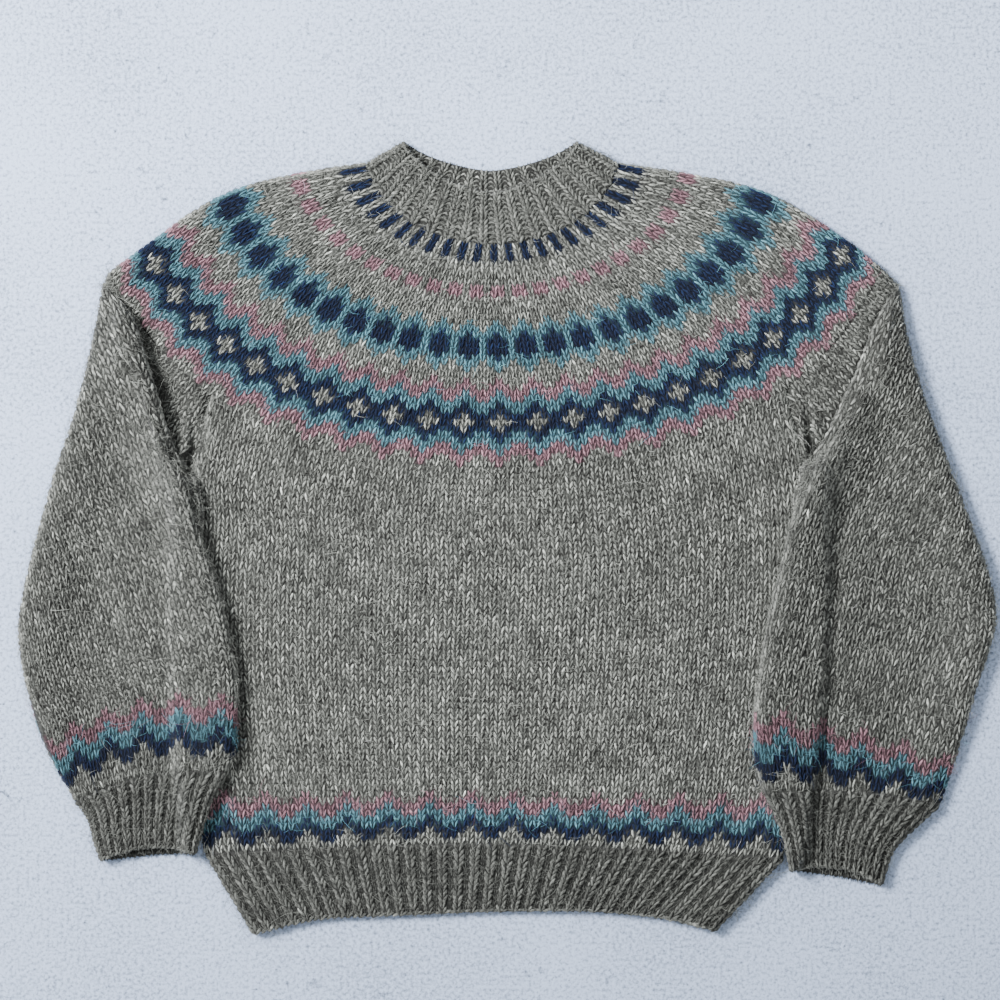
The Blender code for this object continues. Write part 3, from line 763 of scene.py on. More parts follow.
class Draped:
    """A net of courses and columns drawn on the plan, and laid on a tube's front."""

    def __init__(self, net, laid, cloth):
        self.net, self.laid, self.cloth = net, laid, cloth
        over, up = net[0, -1] - net[0, 0], net[-1, 0] - net[0, 0]
        self.flip = over[0] * up[1] - over[1] * up[0] < 0.0

    def spot(self, along, places):
        """Spots of the plan at shares along and across the net."""
        tall, wide = (n - 1 for n in self.net.shape[:2])
        v, u = along * tall, places * wide
        i, j = np.clip(v.astype(int), 0, tall - 1), np.clip(u.astype(int), 0, wide - 1)
        v, u = (v - i)[..., None], (u - j)[..., None]
        low = blend(self.net[i, j], self.net[i, j + 1], u)
        high = blend(self.net[i + 1, j], self.net[i + 1, j + 1], u)
        return blend(low, high, v)

    def look_up(self, along, places):
        """The points and normals of the cloth under the net."""
        rows, around, _ = self.laid.find(self.spot(along, places))
        return self.cloth.look_up(rows, around)

    def on_cloth(self, cells):
        """Which cells have their middles on the tube's front."""
        spot = self.spot(cells.along + 0.5 * cells.tall, cells.across)
        along, around, found = self.laid.find(spot)
        edges = (along > self.laid.along[0]) & (along < self.laid.along[-1])
        return found & edges & (around > 0.0) & (around < 1.0)


# ---------------------------------------------------------------------------
# Stations of each piece, finely spaced, from its lower end up

BODY_STATIONS, HEM_STATIONS, YOKE_STATIONS, COLLAR_STATIONS, CUFF_STATIONS = 70, 14, 60, 16, 22
BODY_FLATTER = 0.8  # share of the way up the body where its side folds begin to flatten
FLATTENS_OVER = 0.2  # and the share over which they do


def body_stations():
    """The body's sections. Its side folds flatten on the way to the armpits."""
    found = []
    for up in across(BODY_STATIONS):
        fold = float(blend(FOLD, FLAT, eased((up - BODY_FLATTER) / FLATTENS_OVER)))
        found.append(Station(body_plan(up), (fold, fold), 0.0, on_floor, None))
    return found


def hem_stations():
    """The sections of the hem's rib."""
    return [
        Station(hem_plan(1.0 - up), (FOLD, FOLD), 0.0, on_floor, None) for up in across(HEM_STATIONS)
    ]


def yoke_stations():
    """The yoke's sections: its rounds."""
    found = []
    for up in across(YOKE_STATIONS):
        ring = yoke_round(up)
        found.append(Station(round_plan(ring), (ring.fold, ring.fold), ring.crown, on_floor, None))
    return found


def collar_stations():
    """The collar's sections: rounds between the yoke's last one and the rim."""
    base = YOKE[-1]
    found = []
    for up in across(COLLAR_STATIONS):
        ring = Round(*(float(blend(a, b, up)) for a, b in zip(base, COLLAR_RIM)))
        gap = -SEAM_GAP * (1.0 - up)
        found.append(Station(round_plan(ring, gap), (ring.fold, ring.fold), ring.crown, on_floor, None))
    return found


def pleat_share(share):
    """The pleat's size at a share of the fold line, from its outer end: it rises, stays and sinks."""
    sunk = 1.0 - (1.0 - PLEAT_LEFT_AT_END) * eased((share - PLEAT_END) / (1.0 - PLEAT_END))
    return eased(share / PLEAT_START) * sunk


SleeveForm = namedtuple("SleeveForm", "stations crest foot away")
UPPER_WAYS = (0.0, 0.06, 0.12, 0.18, 0.24, 0.3)  # stations between the yoke's seam and the fold line
TURN_STEPS = 3  # stations to a step of the pleat
ROW_STEPS = 10  # stations to a line of the sleeve's table
FIRST_ROW = 0.5  # the sleeve's table takes over from the pleat half a line below its fold
THIN_FROM, THIN_OVER = 3, 2.0  # lines from the table's end where side folds sink, and over which
LEAST_WEDGE = 0.1  # the wall of the pleat keeps at least this much room towards the yoke
TUCK_POWER = 4  # how closely the tuck keeps to the front: a power of its side
TUCK_START, TUCK_END = 0.2, 0.15  # shares of the fold line over which the tuck begins and ends


def sleeve_form(rows, armpit, height):
    """A sleeve's stations from its cuff up to the yoke, with the pleat's crest and foot among them.

    From the yoke's seam, the sleeve runs towards the fold line, which is the first of its rows. There
    its wall turns up and over into the pleat, and the lines of its table follow down to the cuff.
    """
    fold_line = section_plan(rows[0])
    sideways = 1.0 if rows[0].inner_x > rows[0].outer_x else -1.0
    away = np.array([rows[0].inner_y - rows[0].outer_y, rows[0].outer_x - rows[0].inner_x])
    away = away / np.hypot(*away) * sideways
    shoulder = 0.0 if sideways > 0 else 1.0

    def gusset(share, side, amount):
        """Joins the sleeve's under layer to the body's at the armpit, below the open pocket."""
        near = eased((share - GUSSET_FROM) / GUSSET_OVER)
        reach = GUSSET * amount * near * np.clip(GUSSET_PACE * (GUSSET_SIDE - side), 0.0, 1.0)
        return np.column_stack([sideways * reach, np.zeros((len(share), 2))])

    def upper(way):
        """Between the yoke's seam and the fold line, at a share of the way."""

        def plan(share, under):
            return blend(seam_arc(shoulder, armpit, share), fold_line(share, under), way)

        def shape(share, side, spot):
            return gusset(share, side, 1.0)

        return plan, shape

    def from_fold(amount, share):
        """How far beyond the fold line a step of the pleat lies; below 0 it is towards the yoke."""
        reach = 1.0 + PLEAT_REACH * pleat_share(share)
        if amount < 0.0:
            wedge = fold_line(share, np.zeros(share.shape)) - seam_arc(shoulder, armpit, share)
            reach = np.clip(PLEAT_ROOM * (wedge @ away), LEAST_WEDGE, reach)
        return amount * reach

    def turned(step, amount):
        """At a step of the pleat, its front tucked under and lifted, with a share of the gusset."""

        def plan(share, under):
            return fold_line(share, under) + from_fold(step.forward, share)[..., None] * away

        def shape(share, side, spot):
            front = np.clip(side, 0.0, 1.0) ** TUCK_POWER
            middle = eased(share / TUCK_START) * eased((1.0 - share) / TUCK_END)
            tuck = (from_fold(step.tucked, share) - from_fold(step.forward, share)) * middle * front
            lift = step.up * height * pleat_share(share) * np.clip(side, 0.0, 1.0)
            return np.column_stack([tuck[:, None] * away, lift]) + gusset(share, side, amount)

        return plan, shape

    def layered(place):
        """Below the pleat: the lift that is left of it, and the share of the gusset."""
        closed = eased((place - GUSSET_ROWS[0]) / (GUSSET_ROWS[1] - GUSSET_ROWS[0]))

        def shape(share, side, spot):
            line = fold_line(share, np.zeros(len(share)))
            far = np.hypot(*(spot - line).T)
            sunk = eased((far - PLEAT_REACH) / PLEAT_LAY)
            lift = height * pleat_share(share) * (1.0 - sunk) * np.clip(side, 0, 1)
            lifted = np.column_stack([np.zeros((len(share), 2)), lift])
            return lifted + gusset(share, side, GUSSET_BELOW * (1.0 - closed))

        return shape

    stations = []
    for way in UPPER_WAYS:
        inner_fold = float(blend(FLAT, FOLD, eased(way)))
        plan, shape = upper(way)
        stations.append(Station(plan, (FOLD, inner_fold), 0.0, resting_height, shape))
    turns = TURN_STEPS * (len(PLEAT) - 1) + 1
    for place in np.linspace(0.0, len(PLEAT) - 1, turns):
        amount = float(blend(1.0, GUSSET_BELOW, eased(place / PLEAT_CREST)))
        plan, shape = turned(at_place(PLEAT, Turn, place), amount)
        stations.append(Station(plan, (FOLD, FOLD), 0.0, resting_height, shape))
    crest = len(UPPER_WAYS) + TURN_STEPS * PLEAT_CREST
    foot = len(UPPER_WAYS) + TURN_STEPS * PLEAT_FOOT
    places = np.linspace(0.0, len(rows) - 1, (len(rows) - 1) * ROW_STEPS + 1)
    for place in places[int(FIRST_ROW * ROW_STEPS) :]:
        share = float(eased(place))
        thinner = eased((place - len(rows) + THIN_FROM) / THIN_OVER)
        fold = float(blend(FOLD, SLEEVE_FOLD, share * (1.0 - thinner)))
        plan = section_plan(at_place(rows, Section, place))
        stations.append(Station(plan, (fold, fold), share, resting_height, layered(place)))
    last = len(stations) - 1
    return SleeveForm(stations[::-1], last - crest, last - foot, away)


def cuff_stations(rows):
    """A cuff's sections, from its edge up. Its back hangs lower and its middle swells at the edge."""
    found = []
    for up in across(CUFF_STATIONS):
        down = 1.0 - up
        section = section_plan(at_place(rows, Section, down * (len(rows) - 1)), CUFF_BACK_DROP * down)
        lower = np.array([0.0, SEAM_GAP * up])

        def plan(share, under, section=section, lower=lower):
            return section(share, under) - lower

        crown = float(blend(1.0, CUFF_CROWN, down))
        found.append(Station(plan, (FOLD, FOLD), crown, resting_height, None))
    return found


# ---------------------------------------------------------------------------
# Charts: the yarn of each stitch

ZIGZAG = np.array([0, 1, 2, 2, 1])  # rows dropped at each of its five stitches
POINTS = np.array([0, 1, 2, 1])  # the same for the smaller points
NARROWS = (16, 27, 33)  # rows of the yoke where its repeats lose a stitch
DIAMOND_TOP, POINTS_TOP = 14, 24  # where the large and the small figures end


def zigzag(column):
    """How many rows a five-stitch zigzag has dropped at a column."""
    return ZIGZAG[np.mod(column, len(ZIGZAG))]


def border_chart(row, column):
    """The zigzags above a rib: two rows each of dark blue, light blue and pink, on the same steps."""
    above = row - (2 - zigzag(column))
    yarn = np.full(above.shape, GREY)
    for start, name in ((0, NAVY), (2, TEAL), (4, PINK)):
        yarn[(above >= start) & (above < start + 2)] = name
    return yarn


def yoke_stitches(row):
    """How many stitches a repeat of the yoke has left at a row."""
    return np.select([row < narrows for narrows in NARROWS], [5, 4, 3], 2)


def yoke_chart(row, place, count):
    """The yoke's pattern, by the row and the stitch's place in its repeat: 0 is the repeat's middle.

    Where a repeat has five stitches, zigzags stack up to a diamond with a light middle. Where it has
    four, smaller points with dark hearts follow, then pairs of pink and single dark stitches.
    """
    yarn = np.full(row.shape, GREY)
    step = zigzag(place)
    low, high = row - step, DIAMOND_TOP - step - row
    wide = count == 5
    for depth, name in ((0, PINK), (2, TEAL), (4, NAVY)):
        yarn[wide & (low >= depth) & (high >= depth)] = name
    yarn[wide & (step == 0) & (row >= 6) & (row <= 8)] = GREY
    yarn[wide & (step == 1) & (row == 7)] = GREY
    step = POINTS[np.mod(place, len(POINTS))]
    low, high = row - NARROWS[0] - step, POINTS_TOP - step - row
    wide = (count == 4) & (row >= NARROWS[0])
    yarn[wide & (low >= 0) & (high >= 0)] = TEAL
    yarn[wide & (low >= 2) & (high >= 2) & (step < 2)] = NAVY
    yarn[(count == 3) & (row >= 29) & (row <= 30) & (np.mod(place, 3) < 2)] = PINK
    yarn[(count == 2) & (row >= 35) & (np.mod(place, 2) == 0)] = NAVY
    return yarn


# ---------------------------------------------------------------------------
# Stitches

# Arrays with a value for each stitch: its middle across and its foot along, the size of its cell,
# how far it stands out, and its yarn. Row and column place it in the yarn's streaks of colour.
Cells = namedtuple("Cells", "across along wide tall lift yarn row column")
Template = namedtuple("Template", "points faces")


def strip_faces(rows):
    """The faces of a pointed grain, three points wide between its two tips."""
    faces = [(0, 2, 1), (0, 3, 2)]
    last = 3 * (rows - 2) + 1
    for start in range(1, last - 3, 3):
        faces += [(start, start + 1, start + 4, start + 3), (start + 1, start + 2, start + 5, start + 4)]
    return faces + [(last - 3, last - 2, last), (last - 2, last - 1, last)]


def grain(rows, mirrored=False, lying=False):
    """A raised grain of yarn from a table: a leg that runs up its column, or a loop lying across it.

    Each point has its place across and up the stitch, its height, and its place across and along
    the strand."""
    points = []
    sign = -1.0 if mirrored else 1.0
    for index, row in enumerate(rows):
        strand = index / (len(rows) - 1)
        for side in (-1.0, 0.0, 1.0) if row.half else (0.0,):
            aside = row.across + side * row.half
            rise = row.middle if side == 0.0 else row.edge
            spot = (row.up, aside) if lying else (sign * aside, row.up)
            points.append((*spot, rise, side, strand))
    faces = strip_faces(len(rows))
    if mirrored != lying:
        faces = [face[::-1] for face in faces]
    return Template(np.array(points), faces)


# The strands that make up one stitch of each kind.
KNIT = (grain(KNIT_LEG, mirrored=True), grain(KNIT_LEG))
LOW_KNIT = (grain(FLAT_LEG, mirrored=True), grain(FLAT_LEG))
PURL = (grain(PURL_BUMP, lying=True),)
EDGE_LOOP = (grain(CAST_OFF, lying=True),)
FRONT, BACK = (0.0, 1.0), (1.0, 2.0)  # the places round a tube

# How much each copy of a strand varies, as multiples of the unevenness: in its width and length,
# and in its place across and along.
WIDTH_JITTER, LENGTH_JITTER, ACROSS_JITTER, ALONG_JITTER = 0.8, 0.5, 0.3, 0.5
TOO_LARGE = 1.5  # a strand that stays this much over the limit of stretch is left out
LEAN_STEP = 0.5  # part of a cell over which the lean of its column is measured
STREAK_ROW, STREAK_CARRIED = 0.75, 0.5  # a streak's own tone, and what it takes from the row before


def cells_of(row, column, along, places, wide, tall, lift, yarn):
    """Cells from arrays or numbers that fit each other, one for each stitch."""
    shape = np.broadcast(row, column, along, places).shape
    values = (places, along, wide, tall, lift, yarn, row, column)
    return Cells(*(np.broadcast_to(value, shape).ravel() for value in values))


def chosen(cells, keep):
    """The cells that are kept."""
    return Cells(*(values[keep] for values in cells))


def streaks(settings, rng, row, column):
    """Light and dark lengths of the yarn: drifting along a row, and different from row to row."""
    at = column / settings.streak
    low = at.astype(int)
    spans = rng.normal(0.0, 1.0, (row.max() + 2, low.max() + 2))
    spans = STREAK_ROW * spans + STREAK_CARRIED * np.roll(spans, 1, 0)
    tone = blend(spans[row, low], spans[row, low + 1], eased(at - low))
    return np.exp(settings.streak_depth * tone)


def copied(faces, points_each, count):
    """The corners and sizes of a template's faces, for every copy of it."""
    corners = np.concatenate([np.array(face) for face in faces])
    sizes = np.array([len(face) for face in faces])
    return (np.arange(count)[:, None] * points_each + corners).ravel(), np.tile(sizes, count)


def make_mesh(name, points, corners, sizes, colour=None, strand=None, uv=None):
    """A smooth mesh object from points in millimetres and faces given by corners and sizes."""
    mesh = bpy.data.meshes.new(name)
    mesh.vertices.add(len(points))
    mesh.vertices.foreach_set("co", np.ascontiguousarray(points * MM, np.float32).ravel())
    mesh.loops.add(len(corners))
    mesh.loops.foreach_set("vertex_index", np.ascontiguousarray(corners, np.int32))
    mesh.polygons.add(len(sizes))
    starts = np.concatenate([[0], np.cumsum(sizes)[:-1]])
    mesh.polygons.foreach_set("loop_start", starts.astype(np.int32))
    mesh.polygons.foreach_set("use_smooth", np.ones(len(sizes), bool))
    mesh.update(calc_edges=True)
    for values, label, kind, key in (
        (colour, "yarn", "FLOAT_COLOR", "color"),
        (strand, "strand", "FLOAT_VECTOR", "vector"),
    ):
        if values is not None:
            layer = mesh.attributes.new(label, kind, "POINT")
            layer.data.foreach_set(key, np.ascontiguousarray(values, np.float32).ravel())
    if uv is not None:
        layer = mesh.uv_layers.new(name="OFBake")
        uv = np.clip(uv, 0.0, 1.0)[corners]
        layer.uv.foreach_set("vector", np.ascontiguousarray(uv, np.float32).ravel())
    piece = bpy.data.objects.new(name, mesh)
    bpy.context.scene.collection.objects.link(piece)
    return piece


def leaning(cloth, cells):
    """How many cells along a step of one cell across goes, if it stays square to the column."""
    along, places = cells.along + LEAN_STEP * cells.tall, cells.across
    middle, _ = cloth.look_up(along, places)
    across_one = (cloth.look_up(along, places + LEAN_STEP * cells.wide)[0] - middle) / LEAN_STEP
    along_one = (cloth.look_up(along + LEAN_STEP * cells.tall, places)[0] - middle) / LEAN_STEP
    return -(across_one * along_one).sum(1) / np.maximum((along_one**2).sum(1), TINY)


def spots_of(cells, u, v):
    """The rows along and places across of points u cells across and v cells along each cell."""
    return cells.along[:, None] + v * cells.tall[:, None], cells.across[:, None] + u * cells.wide[:, None]


def spread_of(cloth, cells, u, v):
    """How large each cell's set of points is on the cloth."""
    points, _ = cloth.look_up(*spots_of(cells, u, v))
    return np.linalg.norm(np.ptp(points, axis=1), axis=-1)


def knit(settings, name, cloth, jobs, seed, shade=1.0, upright=False):
    """One mesh of stitches on a cloth. Each job is cells, the strands of their stitches and a tint.

    A template's point (u, v, h) lands u cells from its cell's middle and v cells up from its foot,
    at h over the cloth along its normal. Where columns lean, upright stitches keep both legs alike:
    a step across then also goes along, so that it stays square to the column. Each copy differs a
    little in size, place and tone, and is made smaller where a tight turn would stretch it. Its
    colour is its yarn's, times the shade and the tint, both painted light and shade, the streak
    and a speck of its own.
    """
    rng = np.random.default_rng(seed)
    parts = []
    for cells, templates, tint in jobs:
        count = len(cells.across)
        lean = leaning(cloth, cells) if upright else np.zeros(count)
        tone = streaks(settings, rng, cells.row, cells.column)
        for shape, faces in templates:
            jitter = rng.normal(0.0, settings.unevenness, (count, 4))
            u = shape[:, 0] * (1.0 + WIDTH_JITTER * jitter[:, :1]) + ACROSS_JITTER * jitter[:, 1:2]
            v = shape[:, 1] * (1.0 + LENGTH_JITTER * jitter[:, 3:4]) + ALONG_JITTER * jitter[:, 2:3]
            rise = shape[:, 2] * (1.0 + jitter[:, 3:4]) * settings.relief + cells.lift[:, None]
            v = v + u * lean[:, None]
            size = spread_of(cloth, cells, u, v)
            limit = settings.stretch * np.median(size)
            shrunk = np.minimum(1.0, limit / size)[:, None]
            u, v = u * shrunk, 0.5 + (v - 0.5) * shrunk
            kept = spread_of(cloth, cells, u, v) < TOO_LARGE * limit
            along, places = spots_of(cells, u, v)
            points, normals = cloth.look_up(along, places)
            points = points + normals * rise[..., None]
            points[..., 2] = np.clip(points[..., 2], settings.floor_clearance, TOP)
            fleck = HEATHER[cells.yarn]
            depth = settings.speck_depth * (RIB_SPECK if upright else 1.0)
            speck = np.exp(fleck * rng.normal(0.0, depth, count)) * tone**fleck
            colour = np.clip(YARNS[cells.yarn] * (shade * tint * speck)[:, None], 0.0, 1.0)
            strand = np.empty((count, len(shape), 3))
            strand[..., :2] = shape[:, 3:5]
            strand[..., 2] = rng.random(count)[:, None]
            each = len(shape)
            turned = [face[::-1] for face in faces] if cloth.flip else faces
            points = points[kept].reshape(-1, 3)
            colour = np.repeat(np.column_stack([colour, fleck])[kept], each, axis=0)
            uv = np.stack([places, along], -1)[kept].reshape(-1, 2)
            corners, sizes = copied(turned, each, kept.sum())
            parts.append((points, colour, strand[kept].reshape(-1, 3), uv, corners, sizes))
    starts = np.cumsum([0] + [len(part[0]) for part in parts[:-1]])
    points, colour, strand, uv, _, sizes = (np.concatenate(column) for column in zip(*parts))
    corners = np.concatenate([part[4] + start for part, start in zip(parts, starts)])
    low, high = uv.min(0), uv.max(0)
    return make_mesh(name, points, corners, sizes, colour, strand, (uv - low) / (high - low))


def grid_faces(tall, wide):
    """Quads of a grid of points whose last column joins its first, row by row."""
    i, j = np.meshgrid(np.arange(tall - 1), np.arange(wide), indexing="ij")
    k = (j + 1) % wide
    corners = [i * wide + j, i * wide + k, (i + 1) * wide + k, (i + 1) * wide + j]
    return np.stack(corners, -1).reshape(-1, 4)


OVER_SEAM = 0.004  # the share of a piece by which its cloth reaches over its seams
LOWEST = 0.3  # of the cloth under the stitches
UV_OUTER, UV_INNER, UV_INNER_FROM = 0.6, 0.36, 0.62  # heights of the two walls on the UV map
STRAND_PITCH = 40.0  # strands that the yarn's pattern makes of the bare cloth


def ground(name, outer, inner, chart, tall, wide, ribs=0, shade=1.0):
    """The cloth under the stitches: an outer and an inner wall, joined at both ends.

    chart gives the yarn at rows and places. Ribs raise the front's outer wall by half of 1 - cos of
    the turn. The ends reach a little over the seams, so that no light falls between two pieces.
    """
    reach = np.linspace(-OVER_SEAM, 1.0 + OVER_SEAM, tall)
    along, around = np.meshgrid(reach, np.linspace(0.0, 2.0, wide + 1)[:-1], indexing="ij")
    outside, normals = outer.look_up(along, around)
    if ribs:
        wave = 0.5 - 0.5 * np.cos(2 * math.pi * ribs * around)
        outside = outside + normals * (RIB_RISE * wave * (around < 1.0))[..., None]
    inside, _ = inner.look_up(along, around)
    points = np.concatenate([outside.reshape(-1, 3), inside.reshape(-1, 3)])
    points[:, 2] = np.maximum(points[:, 2], LOWEST)
    faces = grid_faces(tall, wide)
    count = tall * wide
    ring = np.arange(wide)
    following = (ring + 1) % wide
    last = (tall - 1) * wide
    ends = [
        np.stack([ring, ring + count, following + count, following], -1),
        np.stack([following, following + count, ring + count, ring], -1) + last,
    ]
    every = np.concatenate([faces, faces[:, ::-1] + count, *ends])
    if outer.flip:
        every = every[:, ::-1]
    uv = np.stack([around.ravel() / 2.0, along.ravel() * UV_OUTER], -1)
    uv = np.concatenate([uv, uv * [1.0, UV_INNER / UV_OUTER] + [0.0, UV_INNER_FROM]])
    yarn = chart(along.ravel(), around.ravel())
    # Painted shade: the bare cloth between the stitches is darkened; the piece's shade is painted light and
    # shade as well.
    colour = np.column_stack([YARNS[yarn] * GROUND_PAINTED_SHADE * shade, HEATHER[yarn]])
    strand = np.column_stack([around.ravel(), along.ravel(), np.zeros(count)]) * STRAND_PITCH
    sizes = np.full(len(every), 4)
    colour, strand = np.concatenate([colour, colour]), np.concatenate([strand, strand])
    return make_mesh(name, points, every.ravel(), sizes, colour, strand, uv)


def plain_chart(along, places):
    """Grey all over."""
    return np.full(along.shape, GREY)


def ribbed_ground(name, outer, inner, band, tall):
    """The cloth under a ribbed band."""
    return ground(name, outer, inner, plain_chart, tall, RIB_POINTS * band.ribs, band.ribs, band.shade)


# Loose fibres
HAIR_SAMPLE, HAIR_AHEAD = 10, 0.01  # columns between those measured, and the step that shows the way
HAIR_ON_FRONT, HAIR_ON_FACES = 0.74, 0.88  # shares on the front, and on front and back together
HAIR_PAST_FOLD, HAIR_BY_FOLD = 0.02, 0.012  # how far round the folds they grow and scatter
HAIR_ROOT = 1.2  # height of their roots over the ground of the cloth
HAIR_STEPS = (0.4, 0.75, 1.0)
HAIR_HALVES = np.array([1.0, 0.9, 0.7, 0.25])  # half widths at the root and at each step
HAIR_SHORTER, HAIR_VARIES, HAIR_LONGEST = -0.25, 0.6, 3.2  # middle, spread and limit of their lengths
HAIR_BEND = 0.45  # how far they bend aside
HAIR_ARCH, HAIR_STAND, HAIR_LEAST = 1.6, 0.9, 0.05  # how they stand off: arch, share and least rise
HAIR_CLEARANCE = 0.2  # over the lowest point of a stitch
HAIR_TONES, HAIR_BRIGHTEST = 0.4, 0.8  # how much their tone varies, and its limit
HAIR_UV = 0.001  # size of a fibre on the UV map


def fuzz(settings, name, cloth, chart, count, seed, reach=1.0, shade=1.0):
    """Loose fibres of the wool on a tube: thin strips in three steps.

    From its root a fibre runs s along its heading, bends aside with s^2 and stands off by a random
    share times s (arch - s). That share is cubed, so most fibres lie close to the cloth. More grow
    on the tube's front than underneath.
    """
    rng = np.random.default_rng(seed)
    some = cloth.points[:, ::HAIR_SAMPLE]
    steps = np.linalg.norm(np.diff(some, axis=0), axis=-1).mean(1)
    length = np.concatenate([[0.0], steps.cumsum()])
    along = np.interp(rng.uniform(0.0, length[-1], count), length, across(len(length)))
    pick = rng.random(count)
    on_folds = np.round(rng.random(count)) + rng.normal(0.0, HAIR_BY_FOLD, count)
    on_front = rng.uniform(-HAIR_PAST_FOLD, 1.0 + HAIR_PAST_FOLD, count)
    around = np.where(pick < HAIR_ON_FRONT, on_front, rng.uniform(1.0, 2.0, count))
    around = np.where(pick > HAIR_ON_FACES, on_folds, around)
    roots, normals = cloth.look_up(along, around)
    ahead, _ = cloth.look_up(np.clip(along + HAIR_AHEAD, 0.0, 1.0), around)
    upwards = unit(ahead - roots)
    sideways = np.cross(normals, upwards)
    turn = rng.uniform(0.0, 2.0 * math.pi, count)
    heading = upwards * np.cos(turn)[:, None] + sideways * np.sin(turn)[:, None]
    stretched = np.minimum(rng.lognormal(HAIR_SHORTER, HAIR_VARIES, count), HAIR_LONGEST)
    length = reach * settings.hair_length / MM * stretched[:, None]
    stand = (rng.random(count) ** 3)[:, None]
    bend = np.cross(normals, heading) * rng.normal(0.0, HAIR_BEND, count)[:, None]
    start = roots + normals * HAIR_ROOT
    line = [start]
    for step in HAIR_STEPS:
        rise = normals * (stand * step * (HAIR_ARCH - step) * HAIR_STAND + HAIR_LEAST)
        line.append(start + length * (heading * step + bend * step * step + rise))
    line = np.stack(line, 1)
    line[..., 2] = np.clip(line[..., 2], settings.floor_clearance + HAIR_CLEARANCE, TOP)
    aside = unit(np.cross(line[:, -1] - line[:, 0], [0.0, 0.0, 1.0]))
    across_strip = aside[:, None] * (settings.hair_width / MM / 2 * HAIR_HALVES)[:, None]
    points = np.stack([line - across_strip, line + across_strip], 2).reshape(-1, 3)
    each = 2 * len(HAIR_HALVES)
    strip = [(2 * k, 2 * k + 2, 2 * k + 3, 2 * k + 1) for k in range(len(HAIR_STEPS))]
    # shade is the piece's painted light and shade
    tone = rng.lognormal(settings.hair_tone, HAIR_TONES, count) * shade
    around = np.mod(around, 2.0)
    colour = np.clip(YARNS[chart(along, around)] * tone[:, None], 0.0, HAIR_BRIGHTEST)
    colour = np.repeat(np.column_stack([colour, np.zeros(count)]), each, axis=0)
    uv = np.repeat(np.stack([around / 2.0, along], -1), each, axis=0)
    corner = np.arange(each)
    uv += np.tile(np.stack([corner % 2, corner // 2], -1) * HAIR_UV, (count, 1))
    strand = np.zeros((each * count, 3))
    return make_mesh(name, points, *copied(strip, each, count), colour, strand, uv)


# ---------------------------------------------------------------------------
# Materials


# The yarn: how finely its fibres are drawn across and along a strand, its plies and how they slant,
# how much they count in the relief beside the fibres, and the relief's strength and depth.
FIBRE_SCALE = (1.4, 2.6, 90.0)
PLIES, PLY_SLANT, PLY_RELIEF = 3.0, 0.55, 0.3
WOOL_RELIEF, WOOL_RELIEF_DEPTH = 0.6, 0.0006
WOOL_ROUGHNESS, SHEEN_ROUGHNESS, SPECULAR = 0.95, 0.6, 0.1
DARKEST_FLECK = 0.2
NOISE_DETAIL = 2.0

# The floor: its fine nap, its shallow lumps and its broad clouds, how deep each shows in its tone,
# the lumps above which there are pits, and a painted light falloff that darkens it towards its lower right.
FLOOR_NOISES = (
    {"Scale": 330.0, "Detail": 3.0, "Roughness": 0.6},
    {"Scale": 75.0, "Detail": 4.0, "Distortion": 1.2},
    {"Scale": 5.0, "Detail": 3.0},
)
FLOOR_TONE, NAP_TONE, CLOUD_TONE, BRIGHTEST = 0.99, 2.4, 0.6, 1.12
PIT_FROM, PIT_TONE, LUMP_RELIEF = 0.62, 3.0, 1.5
FALL_UP, FALL_ACROSS, FALL_MIDDLE, FALL_LIMITS = 0.35, 0.06, 0.86, (1.0, 0.67)
FLOOR_COLOUR = (0.60, 0.73, 1.00, 1.0)
FLOOR_RELIEF, FLOOR_RELIEF_DEPTH, FLOOR_ROUGHNESS = 0.5, 0.0012, 0.9

KEY_PLACE, KEY_SIZE = (-2.35, 1.2, 2.6), 1.3  # the main light
SKY_COLOUR = (0.95, 0.98, 1.0, 1.0)
SENSOR, VIEW_END = 36.0, 20.0  # of the camera: its sensor in millimetres, and how far it sees


class Socket:
    """A shader value that adds, subtracts and multiplies like a number."""

    def __init__(self, tree, output):
        self.tree = tree
        self.output = output

    def maths(self, operation, *others):
        """A Math node on this value and others."""
        node = self.tree.nodes.new("ShaderNodeMath")
        node.operation = operation
        for slot, value in zip(node.inputs, (self, *others)):
            connect(self.tree, slot, value)
        return Socket(self.tree, node.outputs[0])

    def __add__(self, other):
        return self.maths("ADD", other)

    def __mul__(self, other):
        return self.maths("MULTIPLY", other)

    def __sub__(self, other):
        return self.maths("SUBTRACT", other)

    __radd__ = __add__
    __rmul__ = __mul__

    def scaled(self, colour):
        """This value times a colour."""
        node = self.tree.nodes.new("ShaderNodeVectorMath")
        node.operation = "SCALE"
        connect(self.tree, node.inputs[0], colour)
        connect(self.tree, node.inputs["Scale"], self)
        return Socket(self.tree, node.outputs[0])


def connect(tree, slot, value):
    """Links a shader value to a socket, or sets a number or colour on it."""
    if isinstance(value, Socket):
        tree.links.new(value.output, slot)
    else:
        slot.default_value = value


class Shader:
    """A Principled material and a way to add nodes to it."""

    def __init__(self, name):
        self.material = bpy.data.materials.new(name)
        self.material.use_nodes = True
        self.tree = self.material.node_tree
        self.main = self.tree.nodes["Principled BSDF"]

    def node(self, kind, settings=None, output=0, **inputs):
        """One output of a new node with its settings and the values or links of its inputs."""
        made = self.tree.nodes.new(kind)
        for key, value in (settings or {}).items():
            setattr(made, key, value)
        for key, value in inputs.items():
            connect(self.tree, made.inputs[key.replace("_", " ")], value)
        return Socket(self.tree, made.outputs[output])

    def relief(self, height, strength, depth):
        """A Bump node on a height."""
        return self.node(
            "ShaderNodeBump", None, "Normal", Strength=strength, Distance=depth, Height=height
        )

    def set(self, **values):
        """Sets or links inputs of the Principled shader."""
        for key, value in values.items():
            connect(self.tree, self.main.inputs[key.replace("_", " ")], value)


